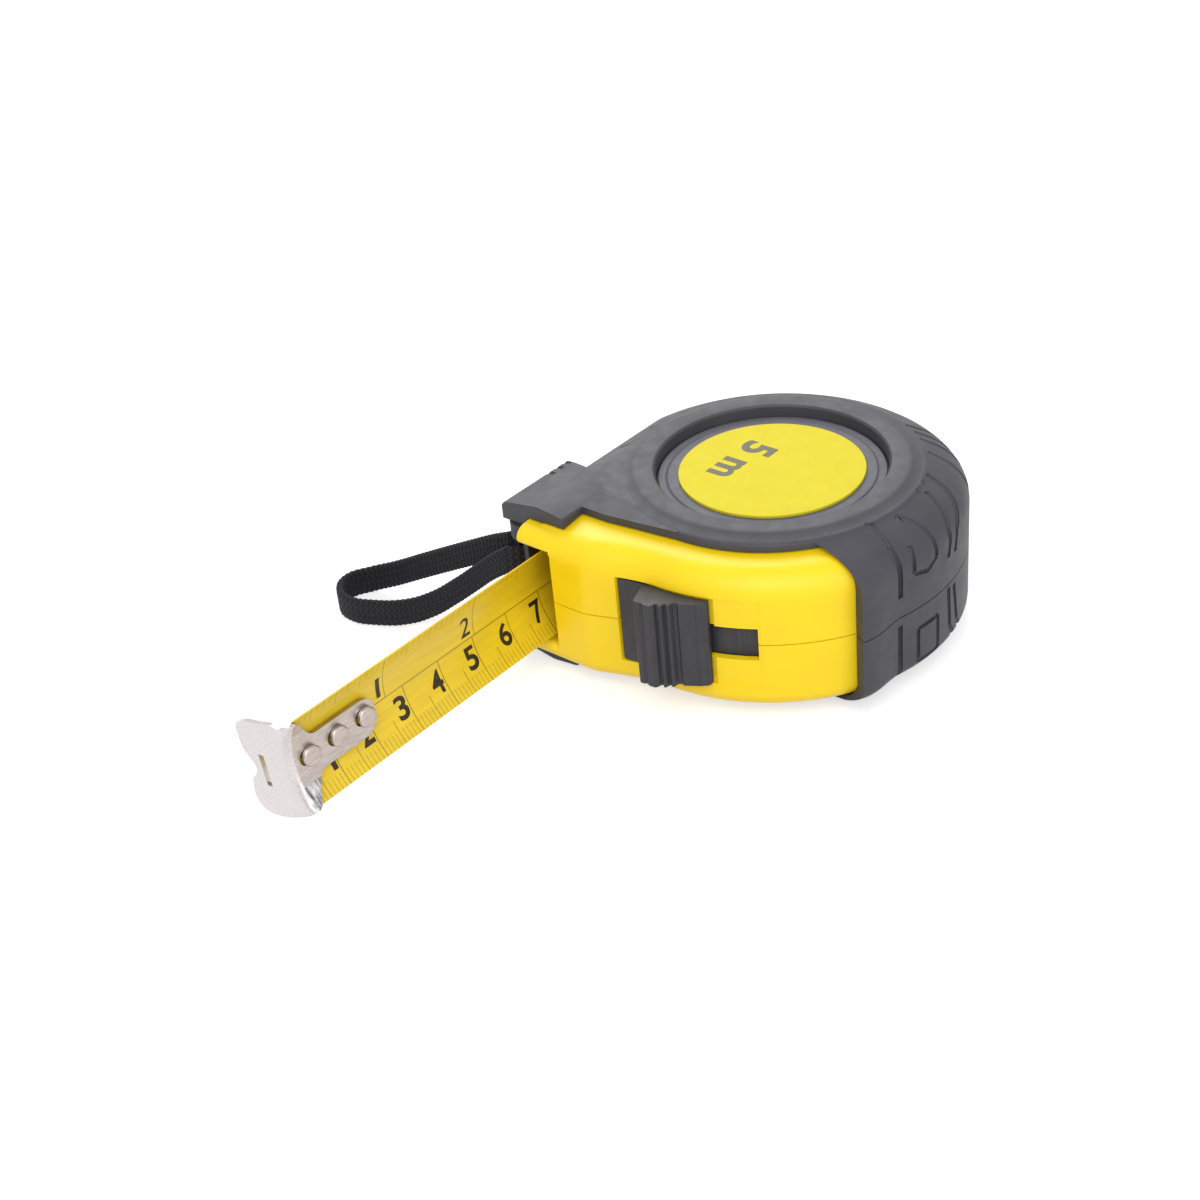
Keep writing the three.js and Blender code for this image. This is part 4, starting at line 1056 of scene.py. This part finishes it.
# Thumb button on its curved track
buttonSizes = {
    "start": 168.85, "end": 197.5, "floor": 40.2, "halfHeight": 9.7, "edge": 0.2,
    # the outer face as (angle, radius): sill, wedge, ribs and heel
    "face": [
        (168.85, 42.5), (171.5, 41.9), (174.0, 41.4), (176.7, 41.1), (178.5, 44.4), (179.2, 46.0),
        (179.9, 46.6), (181.1, 46.55), (181.5, 46.25), (182.0, 46.3), (182.4, 46.6), (184.3, 46.6),
        (184.8, 46.2), (185.3, 45.1), (185.8, 45.1), (186.2, 45.7), (186.8, 45.6), (187.2, 44.5),
        (187.6, 44.3), (188.0, 44.9), (188.6, 44.6), (189.0, 43.4), (189.9, 43.1), (190.4, 43.6),
        (191.4, 43.3), (194.5, 42.6), (196.8, 41.9), (197.4, 41.3),
    ],
    "neck": (176, 194), "neckHalf": 3.3, "slide": (37.9, 38.4, 161, 211), "slideHalf": 5.2,
}


def makeButton(size):
    face = [polar(radius, angle)[:2] for angle, radius in size["face"]]
    stops = [*corners(polar(size["floor"], size["end"])[:2]), ("turn", size["start"] - size["end"], 14)]
    body = slab(stops + corners(*face), -size["halfHeight"], size["halfHeight"])
    inner, outer, start, end = size["slide"]
    neck = ringSector(outer - 0.2, size["floor"] + 0.3, *size["neck"], -size["neckHalf"], size["neckHalf"])
    slide = ringSector(inner, outer, start, end, -size["slideHalf"], size["slideHalf"])
    finishPiece(combine(body, "UNION", neck, slide), "lock_button", blackNylon, "lock", "thumb_button",
                edge=size["edge"])
    print("button made")


makeButton(buttonSizes)

# Blade, drawn out, and its run back to the coil. Its own axes: x along, y away from the printed face.
bladeSizes = {
    "reach": 26.8, "lean": 7.6, "zero": -112.4, "width": 18.9, "sag": 3.3, "thickness": 0.28,
    "front": -111.1, "tail": -46.6, "seam": 0.02, "bendStart": -22.0, "runEnd": 0.0, "drop": 2.3,
    "inkLift": 0.012, "inkDepth": 0.02, "narrowOne": 0.4,
    "centimetres": {
        "pitch": 10.0, "height": 4.75, "width": 3.0, "low": -6.15, "before": 0.4, "weight": 0.022},
    "inches": {
        "pitch": 25.4, "height": 4.5, "width": 2.6, "low": 0.85, "before": 1.0, "weight": 0.004},
}
bladeToRow = caseToRow @ Matrix.Translation((0, bladeSizes["reach"], 0)) @ Matrix.Rotation(
    -radians(bladeSizes["lean"]), 4, "X")


def hollowAt(across):
    # Depth of the printed hollow below the line between the blade's two edges
    return bladeSizes["sag"] * (1 - (2 * across / bladeSizes["width"]) ** 2)


def makeStrip(name, start, end, node, stations):
    # stations(x) gives the shift towards the coil and the share of the hollow that is left
    size = bladeSizes
    bm = bmesh.new()
    steps = max(2, round(abs(end - start) / 1.5))
    bmesh.ops.create_grid(bm, x_segments=steps, y_segments=26, size=0.5)
    uv = bm.loops.layers.uv.new("scale")
    for vert in bm.verts:
        x, z = start + (end - start) * (vert.co.x + 0.5), vert.co.y * size["width"]
        shift, left = stations(x)
        vert.co = (x, hollowAt(z) * left - shift, z)
    for face in bm.faces:
        for loop in face.loops:
            loop[uv].uv = (loop.vert.co.x - size["zero"], loop.vert.co.z)
    if sum(face.normal.y for face in outward(bm).faces) > 0:
        bmesh.ops.reverse_faces(bm, faces=bm.faces[:])
    printedFaces = set(bm.faces)
    bmesh.ops.solidify(bm, geom=bm.faces[:], thickness=size["thickness"])
    for face in bm.faces:
        face.material_index = 0 if face.normal.y < 0 and face in printedFaces else 1
    return finishPiece(bm, name, [tapeFace, tapeBack], "blade" if node == "blade" else "case", node,
                       place=bladeToRow, sharp=50)


def runStation(x):
    share = ease(max(0.0, (x - bladeSizes["bendStart"]) / -bladeSizes["bendStart"]))
    return bladeSizes["drop"] * share, 1 - share


def makeFigures(name, wanted, body):
    # wanted holds (scale, number)
    size = bladeSizes
    whole = bmesh.new()
    for scale, number in wanted:
        look = size[scale]
        wide, high = look["width"] * (size["narrowOne"] if number == 1 else 1.0), look["height"]
        bm = makeText(str(number), high, wide, size["inkDepth"], look["weight"])
        for k in range(1, 9):  # cuts that let the figure follow the hollow
            bmesh.ops.bisect_plane(bm, geom=bm.verts[:] + bm.edges[:] + bm.faces[:], dist=1e-5,
                                   plane_co=(0, high * k / 9, 0), plane_no=(0, 1, 0))
        start = size["zero"] + look["pitch"] * number - look["before"] - wide
        for vert in bm.verts:
            x, z = start + vert.co.x, look["low"] + vert.co.y
            vert.co = (x, hollowAt(z) - size["inkLift"] - vert.co.z, z)
        mesh = bpy.data.meshes.new("figure")
        bm.to_mesh(mesh)
        bm.free()
        whole.from_mesh(mesh)
        bpy.data.meshes.remove(mesh)
    return finishPiece(whole, name, blackInk, body, place=bladeToRow)


def makeBlade(size):
    makeStrip("blade_strip", size["front"], size["tail"], "blade", lambda x: (0.0, 1.0))
    run = makeStrip("blade_inner_run", size["tail"] + size["seam"], size["runEnd"], "blade_run", runStation)
    figures = [("centimetres", number) for number in range(1, 7)] + [("inches", 1), ("inches", 2)]
    makeFigures("blade_figures", figures, "blade")
    # the 7 stands on the part of the strip that runs in first
    last = makeFigures("blade_last_figure", [("centimetres", 7)], "case")
    for piece in (run, last):
        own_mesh(piece)
    print("blade made")


makeBlade(bladeSizes)

# End hook and rivets
hookSizes = {
    "thickness": 0.95, "seat": 0.3, "bend": 0.6, "tongue": 21.6, "tongueHalf": 3.9, "flare": 6.5,
    "halfWidth": 9.5, "flangeReach": 15.9, "edge": 0.14,
    # the flange's rim as (share of its reach, share of half its width)
    "flange": [(-0.08, 1), (0.1, 0.93), (0.24, 0.96), (0.5, 0.9), (0.84, 0.81), (0.93, 0.72), (0.96, 0.45),
               (0.95, 0.14), (0.86, -0.08), (0.8, -0.25), (0.83, -0.42), (0.93, -0.58), (0.98, -0.8),
               (0.99, -1.07), (0.9, -1.3), (0.74, -1.36), (0.44, -1.3), (0.2, -1.18), (-0.08, -1)],
    "flangeRoot": -2.4, "flareStart": 0.12, "flareCurve": 1.2,
    "nailSlot": {"reach": 9.9, "centre": -2.5, "length": 7.0, "width": 1.5},
    "rivets": (4.3, 7.2, 3), "rivetRadius": 1.3, "rivetPlay": 0.25, "head": 2.1, "headHeight": 0.85,
    "float": 1.0,
}


def hookSheet(size):
    # A flat slab whose rows, columns and two faces are laid along the bent and hollowed sheet
    zero, bend, wide = bladeSizes["zero"], size["bend"], size["halfWidth"] * 1.45
    tongueRun, arcRun = size["tongue"] - bend, bend * pi / 2
    flangeStart = tongueRun + arcRun
    rows = [tongueRun * i / 20 for i in range(20)] + [tongueRun + arcRun * i / 16 for i in range(16)]
    rows += [flangeStart + (size["flangeReach"] + 1) * i / 20 for i in range(21)]
    sheet = bmesh.new()
    bmesh.ops.create_grid(sheet, x_segments=len(rows) - 1, y_segments=40, size=0.5)
    raised = bmesh.ops.extrude_face_region(sheet, geom=sheet.faces[:])["geom"]
    bmesh.ops.translate(sheet, vec=(0, 0, 1), verts=vertsOf(raised))
    for vert in sheet.verts:
        run, z = rows[round((vert.co.x + 0.5) * (len(rows) - 1))], vert.co.y * 2 * wide
        out = size["thickness"] * vert.co.z
        face = max(0.0, hollowAt(z)) - size["seat"]
        if run <= tongueRun:
            vert.co = (zero + size["tongue"] - run, face - out, z)
        elif run <= flangeStart:
            turn = (run - tongueRun) / bend
            vert.co = (zero + bend - (bend + out) * sin(turn), face + bend - (bend + out) * cos(turn), z)
        else:
            vert.co = (zero - out, face + bend + run - flangeStart, z)
    return outward(sheet)


def tongueBlock(size):
    # Outline of the tongue, which flares out to the full width at the bend
    zero, half, full, first = bladeSizes["zero"], size["tongueHalf"], size["halfWidth"], size["flareStart"]
    root, tip = zero + size["bend"] - 0.02, zero + size["tongue"] - half
    flare = [(zero + size["flare"] * (first + (1 - first) * t),
              half + (full - half) * (1 - ease(t)) ** size["flareCurve"])
             for t in (0.15, 0.3, 0.45, 0.6, 0.75, 0.9, 1.0)]
    side = [(root, full), (zero + size["flare"] * first, full), *flare]
    end = [(tip + half * sin(radians(a)), -half * cos(radians(a))) for a in range(0, 181, 12)]
    outline = corners(*[(x, -z) for x, z in side], *end, *reversed(side))
    return moved(slab(outline, -20, 20), tipped)


def flangeBlock(size):
    zero, half, root = bladeSizes["zero"], size["halfWidth"], size["flangeRoot"]
    rim = smoothRoute([Vector((down * size["flangeReach"], across * half, 0))
                       for down, across in size["flange"]], 5)
    outline = corners((root, half), *[point[:2] for point in rim], (root, -half))
    return moved(slab(outline, 0, size["bend"] + 2), axes((0, 1, 0), (0, 0, 1), (1, 0, 0), (zero - 2, 0, 0)))


def hookCutters(size):
    # The nail slot, and the long holes in which the hook floats on its rivets
    zero, nail, hole = bladeSizes["zero"], size["nailSlot"], size["rivetRadius"] + size["rivetPlay"]
    cutters = [box((zero - 3, nail["reach"] - nail["width"] / 2, nail["centre"] - nail["length"] / 2),
                   (zero + 1, nail["reach"] + nail["width"] / 2, nail["centre"] + nail["length"] / 2))]
    first, pitch, count = size["rivets"]
    for i in range(count):
        middle = zero + first + pitch * i
        start = middle - size["float"]
        slot = combine(rod(hole, -6, 4, (start, 0), sides=40), "UNION",
                       rod(hole, -6, 4, (middle, 0), sides=40), box((start, -hole, -6), (middle, hole, 4)))
        cutters.append(moved(slot, tipped))
    return cutters


def makeHook(size):
    zero = bladeSizes["zero"]
    hook = combine(hookSheet(size), "INTERSECT", combine(tongueBlock(size), "UNION", flangeBlock(size)))
    hook = combine(hook, "DIFFERENCE", *hookCutters(size))
    # faces on one side of the flare take the steel with the painted dark reflection; the tongue takes the
    # darker steel
    for face in hook.faces:
        middle = face.calc_center_median()
        if middle.z < -size["tongueHalf"] - 0.8 and middle.x > zero + 0.05:
            face.material_index = 2
        elif middle.x > zero + size["bend"]:
            face.material_index = 1
    finishPiece(hook, "hook_plate", [nickelSteel, darkerSteel, flareReflectionSteel], "hook", "end_hook",
                place=bladeToRow, edge=size["edge"], sharp=38)


def makeRivets(size):
    head, high, shank = size["head"], size["headHeight"], size["rivetRadius"]
    face = size["thickness"] + size["seat"] + 0.25 - bladeSizes["sag"]
    back = -bladeSizes["sag"] - bladeSizes["thickness"]
    first, pitch, count = size["rivets"]
    for i in range(count):
        rivet = lathe([
            (0, back - 0.4), (head * 0.55, back - 0.38), (head * 0.7, back - 0.2), (head * 0.75, back),
            (shank, back), (shank, face), (head, face), (head, face + high * 0.72),
            (head * 0.96, face + high * 0.88), (head * 0.86, face + high * 0.98),
            (head * 0.6, face + high), (0, face + high * 1.02)], 48)
        place = Matrix.Translation((bladeSizes["zero"] + first + pitch * i, 0, 0))
        finishPiece(moved(rivet, place @ tipped), f"rivet_head_{i + 1}", darkerSteel, "blade",
                    f"hook_rivet_{i + 1}", place=bladeToRow, sharp=40)


makeHook(hookSizes)
makeRivets(hookSizes)
print("hook made")

# Case screws, seen in their wells on the lower side
screwSizes = {
    "head": 2.6, "headHeight": 1.6, "seat": -13.9, "shank": 1.3, "top": 8.0, "slot": 0.7, "slotDepth": 0.8,
}


def makeScrew(size, index):
    head, seat, shank, end = size["head"], size["seat"], size["shank"], size["top"]
    low = seat - size["headHeight"]
    screw = lathe([
        (0, low), (head * 0.7, low + 0.05), (head * 0.93, low + 0.35), (head, low + 0.8), (head, seat),
        (shank, seat), (shank, end - 1), (0.3, end), (0, end)], 40)
    long, short = head * 0.5, size["slot"] / 2
    cross = [box((-x, -y, low - 1), (x, y, low + size["slotDepth"]))
             for x, y in ((long, short), (short, long))]
    screw = combine(screw, "DIFFERENCE", *cross)
    x, y = polar(*shellSizes["screws"][index])[:2]
    finishPiece(moved(screw, Matrix.Translation((x, y, 0))), f"screw_{index + 1}", zincSteel, "case",
                f"case_screw_{index + 1}")


for screwIndex in range(len(shellSizes["screws"])):
    makeScrew(screwSizes, screwIndex)
print("screws made")

# Nodes that keep their CAD shape, inside the case
keptNodes = {
    "spool_post": whiteAcetal, "spool_drum": whiteAcetal, "spool_cover": whiteAcetal,
    "power_spring": bluedSteel, "blade_coil": tapeBack, "lock_arm": blackNylon, "brake_pad": nitrileRubber,
}
for nodeName, finish in keptNodes.items():
    node = frame["nodes"][nodeName]
    node.data.materials.clear()
    node.data.materials.append(finish)
print("inner nodes dressed")

# Floor, world and lamps
stageSizes = {
    "floor": 4.0, "floorColour": "#d8d8d8", "glow": 0.55, "ambient": 0.55,
    "lamps": [
        # name, place, aim, size, watts
        ("key", (-0.45, -0.3, 0.6), (0, 0, 0.01), 0.7, 3.2),
        ("fill", (-0.1, -0.7, 0.3), (0, 0, 0.01), 0.7, 1.15),
        ("back", (0.42, 0.42, 0.5), (0, 0, 0.02), 0.6, 3.0),
    ],
}


def seenDirectly(tree):
    # 1 for rays that the camera, a mirror or clear glass sends
    path = addNode(tree, "ShaderNodeLightPath").outputs
    seen = calculate(tree, "MAXIMUM", path["Is Camera Ray"], path["Is Glossy Ray"])
    return calculate(tree, "MAXIMUM", seen, path["Is Transmission Ray"])


def makeFloor(size):
    bm = bmesh.new()
    bmesh.ops.create_grid(bm, x_segments=1, y_segments=1, size=size["floor"] / 2)
    floor = asObject(bm, "floor")
    material = bpy.data.materials.new("pale_floor")
    tree = emptyTree(material)
    matt = addNode(tree, "ShaderNodeBsdfDiffuse", {"Color": linear(size["floorColour"])})
    glow = calculate(tree, "MULTIPLY", seenDirectly(tree), size["glow"])
    light = addNode(tree, "ShaderNodeEmission", {"Strength": glow})
    both = addNode(tree, "ShaderNodeAddShader", {0: matt.outputs[0], 1: light.outputs[0]})
    addNode(tree, "ShaderNodeOutputMaterial", {"Surface": both.outputs[0]})
    floor.data.materials.append(material)


def makeSky(size):
    scene.world = bpy.data.worlds.new("studio")
    tree = emptyTree(scene.world)
    strength = addNode(tree, "ShaderNodeMapRange", {
        "Value": seenDirectly(tree), "To Min": size["ambient"], "To Max": 1.0})
    sky = addNode(tree, "ShaderNodeBackground", {"Color": (1, 1, 1, 1), "Strength": strength.outputs[0]})
    addNode(tree, "ShaderNodeOutputWorld", {"Surface": sky.outputs[0]})


def makeLamps(size):
    for name, place, aim, wide, watts in size["lamps"]:
        lamp = bpy.data.lights.new(name, "AREA")
        lamp.shape = "DISK"
        lamp.size = wide
        lamp.energy = watts
        holder = bpy.data.objects.new(name, lamp)
        holder.location = place
        holder.rotation_mode = "QUATERNION"
        holder.rotation_quaternion = (Vector(aim) - Vector(place)).to_track_quat("-Z", "Y")
        scene.collection.objects.link(holder)


makeFloor(stageSizes)
makeSky(stageSizes)
makeLamps(stageSizes)
scene.view_settings.view_transform = "Standard"

print("stage made")
